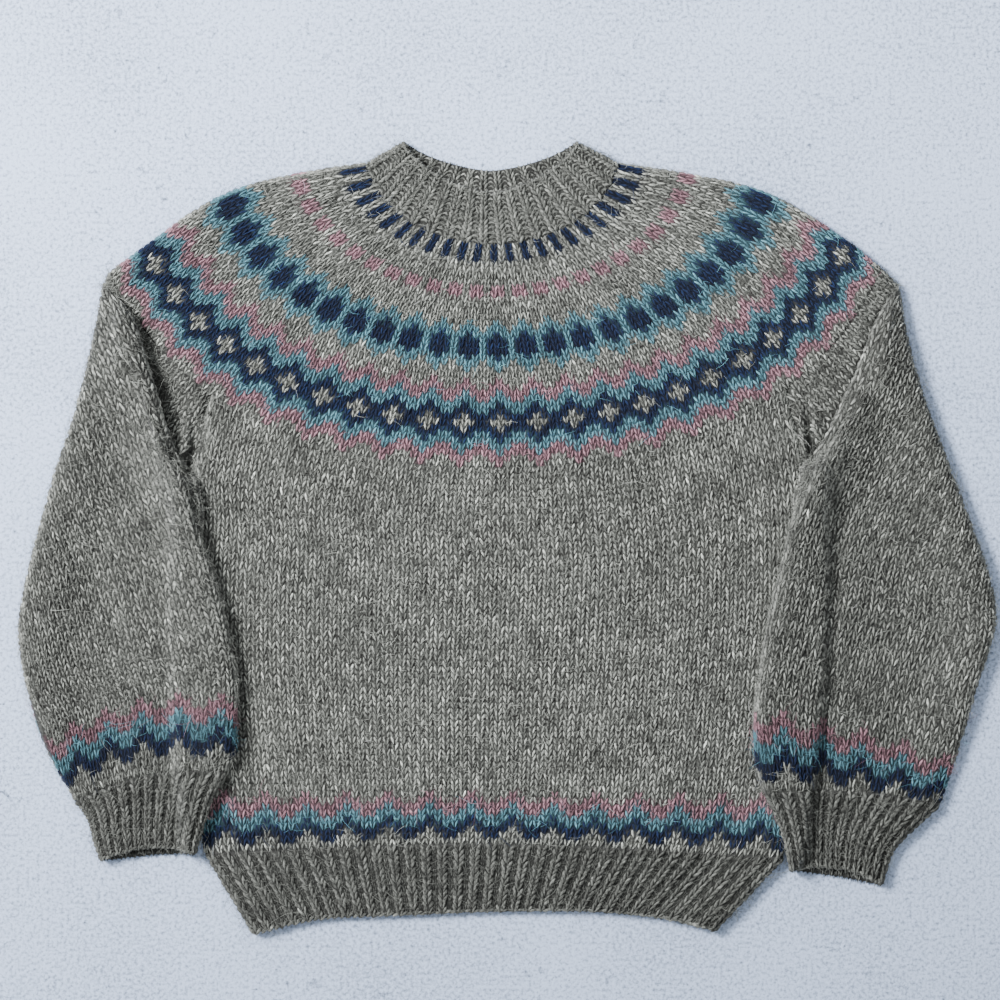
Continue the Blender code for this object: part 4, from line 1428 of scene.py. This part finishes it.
def wool_material(settings):
    """Flecked woollen yarn, made once.

    Its colour is the strand's, times 1 plus the fleck's share of three noises: specks, fibres drawn
    out along the strand and broad clouds. Its relief is the sine of the twisted plies and the fibres.
    """
    found = bpy.data.materials.get("wool")
    if found:
        return found
    shader = Shader("wool")
    yarn = shader.node("ShaderNodeAttribute", {"attribute_name": "yarn"}, "Color")
    flecked = shader.node("ShaderNodeAttribute", {"attribute_name": "yarn"}, "Alpha")
    strand = shader.node("ShaderNodeAttribute", {"attribute_name": "strand"}, "Vector")
    across_strand = shader.node("ShaderNodeSeparateXYZ", None, "X", Vector=strand)
    along_strand = shader.node("ShaderNodeSeparateXYZ", None, "Y", Vector=strand)
    spot = shader.node("ShaderNodeTexCoord", None, "Object")
    lengthwise = shader.node("ShaderNodeMapping", None, "Vector", Vector=strand, Scale=FIBRE_SCALE)
    fleck, fibre, cloud = (
        shader.node("ShaderNodeTexNoise", None, "Fac", Vector=place, Scale=scale, Detail=NOISE_DETAIL)
        for place, scale in ((spot, settings.fleck_scale), (lengthwise, 1.0), (spot, settings.cloud_scale))
    )
    tone = (fleck - 0.5) * settings.fleck_depth + (fibre - 0.5) * settings.fibre_depth
    tone = 1.0 + flecked * (tone + (cloud - 0.5) * settings.cloud_depth)
    tone = tone.maths("MAXIMUM", DARKEST_FLECK)
    ply = (along_strand * PLIES + across_strand * PLY_SLANT) * (2.0 * math.pi)
    height = ply.maths("SINE") * PLY_RELIEF + fibre
    shader.set(
        Base_Color=tone.scaled(yarn),
        Roughness=WOOL_ROUGHNESS,
        Normal=shader.relief(height, WOOL_RELIEF, WOOL_RELIEF_DEPTH),
        Specular_IOR_Level=SPECULAR,
        Sheen_Weight=settings.sheen,
        Sheen_Roughness=SHEEN_ROUGHNESS,
    )
    return shader.material


def floor_material():
    """A pale, matt floor with a fine nap, shallow pitted lumps and broad clouds."""
    shader = Shader("floor")
    spot = shader.node("ShaderNodeTexCoord", None, "Object")
    nap, lumps, cloud = (
        shader.node("ShaderNodeTexNoise", None, "Fac", Vector=spot, **look) for look in FLOOR_NOISES
    )
    pits = (lumps - PIT_FROM).maths("MAXIMUM", 0.0)
    shade = FLOOR_TONE + (nap - 0.5) * NAP_TONE + (cloud - 0.5) * CLOUD_TONE - pits * PIT_TONE
    aside = shader.node("ShaderNodeSeparateXYZ", None, "X", Vector=spot)
    up = shader.node("ShaderNodeSeparateXYZ", None, "Y", Vector=spot)
    # painted light falloff: the floor's tone darkens towards its lower right, away from the lamp
    painted_falloff = up * FALL_UP - aside * FALL_ACROSS + FALL_MIDDLE
    painted_falloff = painted_falloff.maths("MINIMUM", FALL_LIMITS[0]).maths("MAXIMUM", FALL_LIMITS[1])
    shade = shade.maths("MINIMUM", BRIGHTEST) * painted_falloff
    pale = shader.node("ShaderNodeRGB")
    pale.output.default_value = FLOOR_COLOUR
    relief = shader.relief(nap + lumps * LUMP_RELIEF, FLOOR_RELIEF, FLOOR_RELIEF_DEPTH)
    shader.set(
        Base_Color=shade.scaled(pale), Roughness=FLOOR_ROUGHNESS, Normal=relief, Specular_IOR_Level=SPECULAR
    )
    return shader.material


def finish_tube(settings, shell, pieces, cloth, node):
    """Gives a tube's pieces their yarn and their places in the frame, and states the tube's cut."""
    for piece in (shell, *pieces):
        piece.data.materials.append(wool_material(settings))
        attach(piece, "root")
        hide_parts(node)
    declare(shell, cloth)


def declare(shell, cloth):
    """States the cut of a tube of cloth: its greatest girth and length, and its area.

    The area is the sum of strips, each as wide as the mean of its two girths.
    """
    steps_across = np.linalg.norm(np.diff(cloth.points, axis=1), axis=-1)
    steps_along = np.linalg.norm(np.diff(cloth.points, axis=0), axis=-1)
    girth = steps_across.sum(1)
    width = float(girth.max()) * MM
    length = float(steps_along.sum(0).max()) * MM
    area = float((0.5 * (girth[1:] + girth[:-1]) * steps_along.mean(1)).sum()) * MM * MM
    area = min(area, width * length)
    print("sheet", shell.name, round(width, 3), round(length, 3), round(area, 4))


# ---------------------------------------------------------------------------
# The pieces

KNIT_PROUD, LOW_LIFT = 0.5, 0.3  # of knit stitches: over a rib's rise, and on the back of a band
SUNK_TINT = 0.84  # purls that lie between the knit columns are in their shadow
# The cast-off edge: its height and how far it juts out, in rows, and its share of a rib's rise.
EDGE_TALL, EDGE_OUT, EDGE_RAISED = 0.7, 0.1, 0.5
INSIDE_LIFTS = (0.3, 0.9)  # of the purls and the knit stitches on the inside of a mouth


def rib_cells(band, span):
    """Knit and purl columns, turn about, of a ribbed band over its front or its back."""
    row, rib = np.meshgrid(np.arange(band.rows), np.arange(band.ribs), indexing="ij")
    pitch, tall = 1.0 / band.ribs, 1.0 / band.rows
    raised = RIB_RISE + KNIT_PROUD if span == FRONT else LOW_LIFT
    found = []
    for purl, width, lift in ((0, band.knit, raised), (1, band.purl, band.purl_lift)):
        places = span[0] + (rib + 0.5 + 0.5 * purl) * pitch
        found.append(
            cells_of(row, 2 * rib + purl, row * tall, places, width * pitch, tall, lift, GREY)
        )
    return found


def ribbing(settings, name, cloth, band, span, seed):
    """The stitches of one side of a ribbed band, and the loops of its cast-off edge."""
    knits, purls = rib_cells(band, span)
    tall = 1.0 / band.rows
    start = (1.0 - EDGE_TALL * tall if band.edge else 0.0) - EDGE_OUT * tall
    raised = EDGE_RAISED * RIB_RISE if span == FRONT else 0.0
    loops = np.arange(2 * band.ribs)
    places = span[0] + (loops + 0.5) / (2 * band.ribs)
    rim = cells_of(0, loops, start, places, 0.5 / band.ribs, tall, raised, GREY)
    between = (PURL, 1.0) if band.bumpy else (LOW_KNIT, SUNK_TINT)
    jobs = [(knits, KNIT, 1.0), (purls, *between), (rim, EDGE_LOOP, 1.0)]
    return knit(settings, name, cloth, jobs, seed, band.shade, upright=True)


def both_sides(settings, name, cloth, band, seed):
    """The stitches of a ribbed band's front and its back."""
    return [
        ribbing(settings, name + "_stitches_front", cloth, band, FRONT, seed),
        ribbing(settings, name + "_stitches_back", cloth, band, BACK, seed + 1),
    ]


def lining(settings, name, stations, columns, band, shown, seed):
    """Stitches on the inside of a ribbed band's back, over the rows that its mouth shows.

    From inside, knit columns look like purls and the other way round, so they trade their widths.
    """
    cloth = Cloth(stations, WALL - INNER_INSET, columns, facing_in=True)
    wider = (band.purl / band.knit, band.knit / band.purl)
    jobs = []
    for cells, strands, lift, times in zip(rib_cells(band, BACK), (PURL, KNIT), INSIDE_LIFTS, wider):
        cells = chosen(cells, (cells.along >= shown[0]) & (cells.along <= shown[1]))
        cells = cells._replace(lift=np.full(len(cells.along), lift), wide=cells.wide * times)
        jobs.append((cells, strands, 1.0))
    return knit(settings, name + "_stitches_inside", cloth, jobs, seed, band.shade)


class SweaterSettings(bpy.types.PropertyGroup):
    """How the sweater is knitted and how its wool looks"""

    relief: bpy.props.FloatProperty(name="Relief", description="Height of the stitches", default=1.0)
    unevenness: bpy.props.FloatProperty(
        name="Unevenness", description="How far stitches differ from each other", default=0.10
    )
    stretch: bpy.props.FloatProperty(
        name="Stretch", description="Greatest size of a stitch, as a multiple of the usual", default=1.9
    )
    streak: bpy.props.FloatProperty(
        name="Streak", description="Stitches over which the yarn's tone drifts", default=4.0
    )
    streak_depth: bpy.props.FloatProperty(
        name="Streak depth", description="How much the yarn's tone drifts", default=0.13
    )
    speck_depth: bpy.props.FloatProperty(
        name="Speck depth", description="How much the legs of a stitch differ in tone", default=0.38
    )
    fleck_scale: bpy.props.FloatProperty(
        name="Fleck scale", description="Flecks in the wool, per metre", default=420.0
    )
    fleck_depth: bpy.props.FloatProperty(
        name="Fleck depth", description="Contrast of the wool's flecks", default=3.0
    )
    fibre_depth: bpy.props.FloatProperty(
        name="Fibre depth", description="Contrast of the light and dark fibres along a strand", default=3.0
    )
    cloud_scale: bpy.props.FloatProperty(
        name="Cloud scale", description="Lighter and darker patches, per metre", default=38.0
    )
    cloud_depth: bpy.props.FloatProperty(
        name="Cloud depth", description="Contrast of the patches", default=0.8
    )
    sheen: bpy.props.FloatProperty(
        name="Sheen", description="Soft shine of the wool's fuzz", default=0.12, subtype="FACTOR"
    )
    floor_clearance: bpy.props.FloatProperty(
        name="Floor clearance", description="Lowest point of a stitch, in millimetres", default=0.05
    )
    hair_length: bpy.props.FloatProperty(
        name="Hair length", description="Usual length of a loose fibre", default=0.009, subtype="DISTANCE"
    )
    hair_width: bpy.props.FloatProperty(
        name="Hair width", description="Width of a loose fibre", default=0.00018, subtype="DISTANCE"
    )
    hair_tone: bpy.props.FloatProperty(
        name="Hair tone", description="How much lighter a loose fibre is, as a power of e", default=0.35
    )


class StageSettings(bpy.types.PropertyGroup):
    """The camera's view and the lights"""

    view_width: bpy.props.FloatProperty(
        name="View width", description="Width that the camera sees", default=0.9, subtype="DISTANCE"
    )
    view_x: bpy.props.FloatProperty(
        name="View X", description="Middle of the view, across", default=-0.0072, subtype="DISTANCE"
    )
    view_y: bpy.props.FloatProperty(
        name="View Y", description="Middle of the view, along", default=0.03375, subtype="DISTANCE"
    )
    camera_height: bpy.props.FloatProperty(
        name="Camera height", description="Height of the camera", default=2.6, subtype="DISTANCE"
    )
    sky: bpy.props.FloatProperty(name="Sky", description="Light from all round", default=0.72)
    key: bpy.props.FloatProperty(
        name="Key", description="Power of the main light", default=345.0, subtype="POWER"
    )


def walls(stations, columns=FINE, inner_columns=COARSE):
    """The outer wall of a tube, at the ground of its stitches, and its inner wall."""
    return Cloth(stations, STITCH_DEPTH, columns), Cloth(stations, WALL, inner_columns)


class SWEATER_OT_body(bpy.types.Operator):
    """Knits the body and its ribbed hem"""

    bl_idname = "sweater.body"
    bl_label = "Body and hem"

    def execute(self, context):
        settings = context.scene.sweater
        outer, inner = walls(body_stations())
        per_side = BODY_COLUMNS / 2.0

        def chart(along, places):
            row = np.clip((along * BODY_ROWS).astype(int), 0, BODY_ROWS - 1)
            return border_chart(row - BODY_BAND, (places * per_side).astype(int) + BODY_PHASE)

        shell = ground("body_cloth", outer, inner, chart, tall=46, wide=112)
        row, column = np.meshgrid(np.arange(BODY_ROWS), np.arange(BODY_COLUMNS), indexing="ij")
        yarn = border_chart(row - BODY_BAND, column + BODY_PHASE)
        places = (column + 0.5) / per_side
        cells = cells_of(
            row, column, row / BODY_ROWS, places, 1.0 / per_side, 1.0 / BODY_ROWS, 0.0, yarn
        )
        front = cells.across < 1.0
        pieces = [
            knit(settings, "body_stitches_front", outer, [(chosen(cells, front), KNIT, 1.0)], 1),
            knit(settings, "body_stitches_back", outer, [(chosen(cells, ~front), LOW_KNIT, 1.0)], 2),
            fuzz(settings, "body_fuzz", outer, chart, count=11000, seed=51, reach=0.7),
        ]
        finish_tube(settings, shell, pieces, outer, "body")

        outer, inner = walls(hem_stations())
        shell = ribbed_ground("hem_cloth", outer, inner, HEM, tall=10)
        pieces = both_sides(settings, "hem", outer, HEM, seed=3)
        pieces.append(
            fuzz(settings, "hem_fuzz", outer, plain_chart, count=3200, seed=52, shade=HEM.shade)
        )
        finish_tube(settings, shell, pieces, outer, "hem_rib")
        return {"FINISHED"}


def yoke_cells(front):
    """The yoke's stitches, row by row: fewer to a repeat as the rounds narrow."""
    parts = []
    for row in range(YOKE_ROWS):
        count = int(yoke_stitches(np.array(row)))
        middle = (count - 1) // 2
        repeat, place = np.meshgrid(np.arange(-1, YOKE_REPEATS), np.arange(count) - middle, indexing="ij")
        at = (repeat + place / count).ravel()
        if front:
            keep = (at >= YOKE_FRONT[0]) & (at < YOKE_FRONT[1])
            places, wide = (at - YOKE_FRONT[0]) / YOKE_WIDE, 1.0 / count / YOKE_WIDE
        else:
            keep = (at >= YOKE_FRONT[1]) & (at < YOKE_FRONT[0] + YOKE_REPEATS)
            rest = YOKE_REPEATS - YOKE_WIDE
            places, wide = 1.0 + (at - YOKE_FRONT[1]) / rest, 1.0 / count / rest
        rows = np.full(keep.sum(), row)
        yarn = yoke_chart(rows, np.mod(place.ravel()[keep], count), np.full(len(rows), count))
        column = np.round((at[keep] + 1.0) * count).astype(int)
        foot = rows / YOKE_ROWS
        parts.append(cells_of(rows, column, foot, places[keep], wide, 1.0 / YOKE_ROWS, 0.0, yarn))
    return Cells(*(np.concatenate(values) for values in zip(*parts)))


class SWEATER_OT_yoke(bpy.types.Operator):
    """Knits the patterned yoke"""

    bl_idname = "sweater.yoke"
    bl_label = "Yoke"

    def execute(self, context):
        settings = context.scene.sweater
        outer, inner = walls(yoke_stations(), VERY_FINE)

        def chart(along, places):
            row = np.clip((along * YOKE_ROWS).astype(int), 0, YOKE_ROWS - 1)
            under = YOKE_FRONT[1] + (places - 1.0) * (YOKE_REPEATS - YOKE_WIDE)
            at = np.where(places < 1.0, YOKE_FRONT[0] + places * YOKE_WIDE, under)
            count = yoke_stitches(row)
            return yoke_chart(row, np.round((at - np.floor(at)) * count).astype(int), count)

        shell = ground("yoke_cloth", outer, inner, chart, tall=39, wide=240, shade=YOKE_PAINTED_LIGHT)
        pieces = []
        for name, front, strands, seed in (("front", True, KNIT, 5), ("back", False, LOW_KNIT, 6)):
            jobs = [(yoke_cells(front), strands, 1.0)]
            pieces.append(knit(settings, "yoke_stitches_" + name, outer, jobs, seed, YOKE_PAINTED_LIGHT))
        pieces.append(
            fuzz(settings, "yoke_fuzz", outer, chart, count=8000, seed=53, reach=0.5, shade=YOKE_PAINTED_LIGHT)
        )
        finish_tube(settings, shell, pieces, outer, "yoke")
        return {"FINISHED"}


class SWEATER_OT_collar(bpy.types.Operator):
    """Knits the ribbed mock neck, with the inside of its back"""

    bl_idname = "sweater.collar"
    bl_label = "Collar"

    def execute(self, context):
        settings = context.scene.sweater
        stations = collar_stations()
        outer, inner = walls(stations, VERY_FINE, FINE)
        shell = ribbed_ground("collar_cloth", outer, inner, COLLAR, tall=12)
        pieces = both_sides(settings, "collar", outer, COLLAR, seed=7)
        pieces.append(
            lining(settings, "collar", stations, VERY_FINE, COLLAR_INSIDE, COLLAR_SHOWN, seed=9)
        )
        pieces.append(
            fuzz(
                settings, "collar_fuzz", outer, plain_chart, count=2400, seed=54, reach=0.7,
                shade=COLLAR.shade,
            )
        )
        finish_tube(settings, shell, pieces, outer, "collar")
        return {"FINISHED"}


NET_STEPS = 3  # spots of a net to a stitch
WEDGE_NET = (61, 241)  # spots outwards from and along the yoke's seam
AROUND_POINTS, AROUND_OVER = 181, 0.06  # round a tube's front, and how far past its folds
END_STEP = 0.02  # share of a plan's line over which its direction at the ends is measured


def course_net(courses, widening):
    """Spots across the sleeve at every third of a stitch, from the cuff's end of the table up.

    Widening is how much wider than the rest the stitches lie at the inner edge. A course bows by
    4 s (1 - s) times its bow.
    """
    courses_up = np.linspace(SLEEVE_ROWS, 0.0, NET_STEPS * SLEEVE_ROWS + 1)
    steps = table(courses, "row")
    inner_x, inner_y, outer_x, outer_y, bow = (
        through(steps, table(courses, column), courses_up) for column in Course._fields[1:]
    )
    share = SLEEVE_SPAN[0] + SLEEVE_WIDE * across(NET_STEPS * SLEEVE_COLUMNS + 1)
    within = share.clip(0, 1)
    share = share + widening * within * (1.0 - within)
    within = share.clip(0, 1)
    inner, outer = np.stack([inner_x, inner_y], -1), np.stack([outer_x, outer_y], -1)
    spot = blend(inner[:, None], outer[:, None], share[:, None])
    spot[..., 1] += bow[:, None] * 4.0 * within * (1.0 - within)
    return spot


def wedge_net():
    """Spots outwards from the yoke's seam, in line with the yoke's columns."""
    whole = oval(SEAM_ROUND, SEAM_ROUND.front, SEAM_GAP, across(WEDGE_NET[1]))
    tangent = np.gradient(whole, axis=0)
    outwards = unit(np.stack([tangent[:, 1], -tangent[:, 0]], -1))
    far = np.linspace(WEDGE_REACH, 0.0, WEDGE_NET[0])
    return whole[None] + outwards[None] * far[:, None, None]


def laid_parts(form, cloth):
    """The plans of a sleeve's lower part, from its cuff over the pleat's crest to its foot, and of the
    part between the foot and the yoke. Side folds and the pleat's wall are rolled out flat."""
    around = np.linspace(-AROUND_OVER, 1.0 + AROUND_OVER, AROUND_POINTS)
    plans = []
    for station in form.stations:
        width, total = section_total(station)
        share = (around * total - station.folds[0] / 2 * (math.pi / 2 - 1.0)) / width
        inside = np.clip(share, 0.0, 1.0)
        spot = station.plan(inside, np.zeros(len(share)))
        step = station.plan(np.array([0.0, END_STEP, 1.0 - END_STEP, 1.0]), np.zeros(4))
        before, after = (step[0] - step[1]) / END_STEP, (step[3] - step[2]) / END_STEP
        spot = spot + np.maximum(-share, 0.0)[:, None] * before
        spot = spot + np.maximum(share - 1.0, 0.0)[:, None] * after
        spot = spot + station.shape(inside, np.ones(len(share)), spot)[:, :2]
        plans.append(spot)
    plans = np.stack(plans)
    along = across(len(form.stations))
    every = np.broadcast_to(along[:, None], plans.shape[:2])
    points, _ = cloth.look_up(every, np.clip(around, 0.0, 1.0)[None])
    crest, foot = form.crest, form.foot
    wall = np.linalg.norm(np.diff(points[crest : foot + 1], axis=0), axis=-1).cumsum(0)
    lower = plans[: foot + 1].copy()
    lower[crest + 1 :] = plans[crest] - form.away * wall[..., None]
    return Laid(lower, along[: foot + 1], around), Laid(plans[foot:], along[foot:], around)


def even_rows(cloth):
    """Rows of the cloth at even lengths along the middle of its back."""
    middle = cloth.points[:, 3 * (cloth.points.shape[1] - 1) // 4]
    length = np.linalg.norm(np.diff(middle, axis=0), axis=-1)
    length = np.concatenate([[0.0], np.cumsum(length)])
    return np.interp(across(SLEEVE_ROWS + 1), length / length[-1], across(len(middle)))


def sleeve_cells(phase):
    """The stitches of a sleeve's net: its courses, from the cuff up."""
    columns = np.arange(round(SLEEVE_SPAN[0] * SLEEVE_COLUMNS), SLEEVE_COLUMNS)
    row, column = np.meshgrid(np.arange(SLEEVE_ROWS), columns, indexing="ij")
    places = ((column + 0.5) / SLEEVE_COLUMNS - SLEEVE_SPAN[0]) / SLEEVE_WIDE
    wide, tall = 1.0 / SLEEVE_COLUMNS / SLEEVE_WIDE, 1.0 / SLEEVE_ROWS
    yarn = border_chart(row - (SLEEVE_ROWS - BAND_END), column + phase)
    return cells_of(row, column - columns[0], row / SLEEVE_ROWS, places, wide, tall, 0.0, yarn)


def wedge_cells():
    """The stitches between the yoke's seam and the foot of the pleat, in line with the yoke's."""
    columns = np.arange(-WEDGE_SPARE, YOKE_STITCHES * WEDGE_REPEATS + WEDGE_SPARE)
    row, at = np.meshgrid(np.arange(WEDGE_ROWS), columns, indexing="ij")
    places = (at / YOKE_STITCHES - YOKE_FRONT[0]) / YOKE_WIDE
    foot = 1.0 - (row + 1) / WEDGE_ROWS
    wide = 1.0 / YOKE_STITCHES / YOKE_WIDE
    cells = cells_of(row, at + WEDGE_SPARE, foot, places, wide, 1.0 / WEDGE_ROWS, 0.0, GREY)
    return chosen(cells, (cells.across > 0) & (cells.across < 1))


def sleeve_back_cells(even):
    """The stitches of a sleeve's back, in rows at even lengths."""
    row, column = np.meshgrid(np.arange(SLEEVE_ROWS), np.arange(SLEEVE_COLUMNS), indexing="ij")
    places, wide = 1.0 + (column + 0.5) / SLEEVE_COLUMNS, 1.0 / SLEEVE_COLUMNS
    yarn = border_chart(row - BACK_BAND, column)
    return cells_of(row, column, even[row], places, wide, np.diff(even)[row], 0.0, yarn)


class SWEATER_OT_sleeves(bpy.types.Operator):
    """Knits both sleeves, with the pleats at their tops"""

    bl_idname = "sweater.sleeves"
    bl_label = "Sleeves"

    def execute(self, context):
        settings = context.scene.sweater
        for node, rows, armpit, height, courses, widening, phase, seed in SLEEVES:
            form = sleeve_form(rows, armpit, height)
            outer, inner = walls(form.stations)
            lower, upper = laid_parts(form, outer)
            net = course_net(courses, widening)
            columns = np.linspace(*SLEEVE_SPAN, net.shape[1]) * SLEEVE_COLUMNS
            drawn = Laid(net, across(len(net)) * SLEEVE_ROWS, columns)
            even = even_rows(outer)

            def chart(along, places, drawn=drawn, outer=outer, even=even, phase=phase):
                row, column, found = drawn.find(outer.look_up(along, places)[0][..., :2])
                under = places > 1.0
                row = np.where(under, np.interp(along, even, np.arange(len(even))) + 1.0, row)
                column = np.where(under, (places - 1.0) * SLEEVE_COLUMNS, column + phase)
                row = np.floor(np.where(found | under, row, SLEEVE_ROWS)).astype(int)
                return border_chart(row - (SLEEVE_ROWS - BAND_END), np.floor(column).astype(int))

            tall = len(form.stations)
            shell = ground(node + "_cloth", outer, inner, chart, tall, wide=84, shade=SLEEVE_PAINTED_SHADE)
            pieces = []
            draped = Draped(net, lower, outer), Draped(wedge_net(), upper, outer)
            for name, cloth, cells, strands in (
                ("front", draped[0], sleeve_cells(phase), KNIT),
                ("top", draped[1], wedge_cells(), KNIT),
                ("back", outer, sleeve_back_cells(even), LOW_KNIT),
            ):
                if cloth is not outer:
                    cells = chosen(cells, cloth.on_cloth(cells))
                jobs = [(cells, strands, 1.0)]
                name = node + "_stitches_" + name
                pieces.append(knit(settings, name, cloth, jobs, seed + len(pieces), SLEEVE_PAINTED_SHADE))
            pieces.append(
                fuzz(
                    settings, node + "_fuzz", outer, chart, count=8000, seed=seed + len(pieces),
                    reach=0.7, shade=SLEEVE_PAINTED_SHADE,
                )
            )
            finish_tube(settings, shell, pieces, outer, node)
        return {"FINISHED"}


class SWEATER_OT_cuffs(bpy.types.Operator):
    """Knits the ribbed cuffs"""

    bl_idname = "sweater.cuffs"
    bl_label = "Cuffs"

    def execute(self, context):
        settings = context.scene.sweater
        for node, rows, seed in (("cuff_right", CUFF_RIGHT, 30), ("cuff_left", CUFF_LEFT, 35)):
            stations = cuff_stations(rows)
            outer, inner = walls(stations)
            shell = ribbed_ground(node + "_cloth", outer, inner, CUFF, tall=14)
            pieces = both_sides(settings, node, outer, CUFF, seed)
            pieces.append(
                lining(settings, node, stations, FINE, CUFF_INSIDE, CUFF_SHOWN, seed + 2)
            )
            pieces.append(
                fuzz(
                    settings, node + "_fuzz", outer, plain_chart, count=1100, seed=seed + 3,
                    shade=CUFF.shade,
                )
            )
            finish_tube(settings, shell, pieces, outer, node)
        return {"FINISHED"}


class SWEATER_OT_stage(bpy.types.Operator):
    """Lays out the floor, the lights and the camera"""

    bl_idname = "sweater.stage"
    bl_label = "Stage"

    def execute(self, context):
        settings = context.scene.sweater_stage
        corners = np.array([[-1, -1, 0], [1, -1, 0], [1, 1, 0], [-1, 1, 0]]) * FLOOR_HALF
        floor = make_mesh("floor", corners - [0.0, 0.0, FLOOR_DROP], np.arange(4), np.array([4]))
        floor.data.materials.append(floor_material())

        lamp = bpy.data.lights.new("key", "AREA")
        lamp.shape = "DISK"
        lamp.size = KEY_SIZE
        lamp.energy = settings.key
        key = bpy.data.objects.new("key", lamp)
        key.location = KEY_PLACE
        key.rotation_euler = mathutils.Vector(KEY_PLACE).to_track_quat("Z", "Y").to_euler()
        context.scene.collection.objects.link(key)

        world = bpy.data.worlds.new("sky")
        world.use_nodes = True
        sky = world.node_tree.nodes["Background"]
        sky.inputs["Color"].default_value = SKY_COLOUR
        sky.inputs["Strength"].default_value = settings.sky
        context.scene.world = world

        lens = bpy.data.cameras.new("camera")
        lens.sensor_width = SENSOR
        lens.lens = SENSOR * settings.camera_height / settings.view_width
        lens.clip_end = VIEW_END
        camera = bpy.data.objects.new("camera", lens)
        camera.location = (settings.view_x, settings.view_y, settings.camera_height)
        context.scene.collection.objects.link(camera)
        context.scene.camera = camera
        return {"FINISHED"}


class SWEATER_PT_panel(bpy.types.Panel):
    """The sweater's settings and steps"""

    bl_label = "Sweater"
    bl_idname = "SWEATER_PT_panel"
    bl_space_type = "VIEW_3D"
    bl_region_type = "UI"
    bl_category = "Sweater"

    def draw(self, context):
        for group in (context.scene.sweater, context.scene.sweater_stage):
            for name in group.bl_rna.properties.keys():
                if name not in ("rna_type", "name"):
                    self.layout.prop(group, name)
        for operator in OPERATORS:
            self.layout.operator(operator.bl_idname)


OPERATORS = (
    SWEATER_OT_body, SWEATER_OT_yoke, SWEATER_OT_collar, SWEATER_OT_sleeves, SWEATER_OT_cuffs,
    SWEATER_OT_stage,
)
CLASSES = (SweaterSettings, StageSettings, *OPERATORS, SWEATER_PT_panel)


def register():
    """Makes the settings, operators and panel known to Blender."""
    for each in CLASSES:
        bpy.utils.register_class(each)
    bpy.types.Scene.sweater = bpy.props.PointerProperty(type=SweaterSettings)
    bpy.types.Scene.sweater_stage = bpy.props.PointerProperty(type=StageSettings)


def unregister():
    """Takes them out again."""
    del bpy.types.Scene.sweater_stage
    del bpy.types.Scene.sweater
    for each in reversed(CLASSES):
        bpy.utils.unregister_class(each)


def main():
    """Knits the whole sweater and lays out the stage."""
    register()
    steps = bpy.ops.sweater
    for step in (steps.body, steps.yoke, steps.collar, steps.sleeves, steps.cuffs, steps.stage):
        if step() != {"FINISHED"}:
            raise RuntimeError("a step of the sweater failed")


if __name__ == "__main__":
    main()
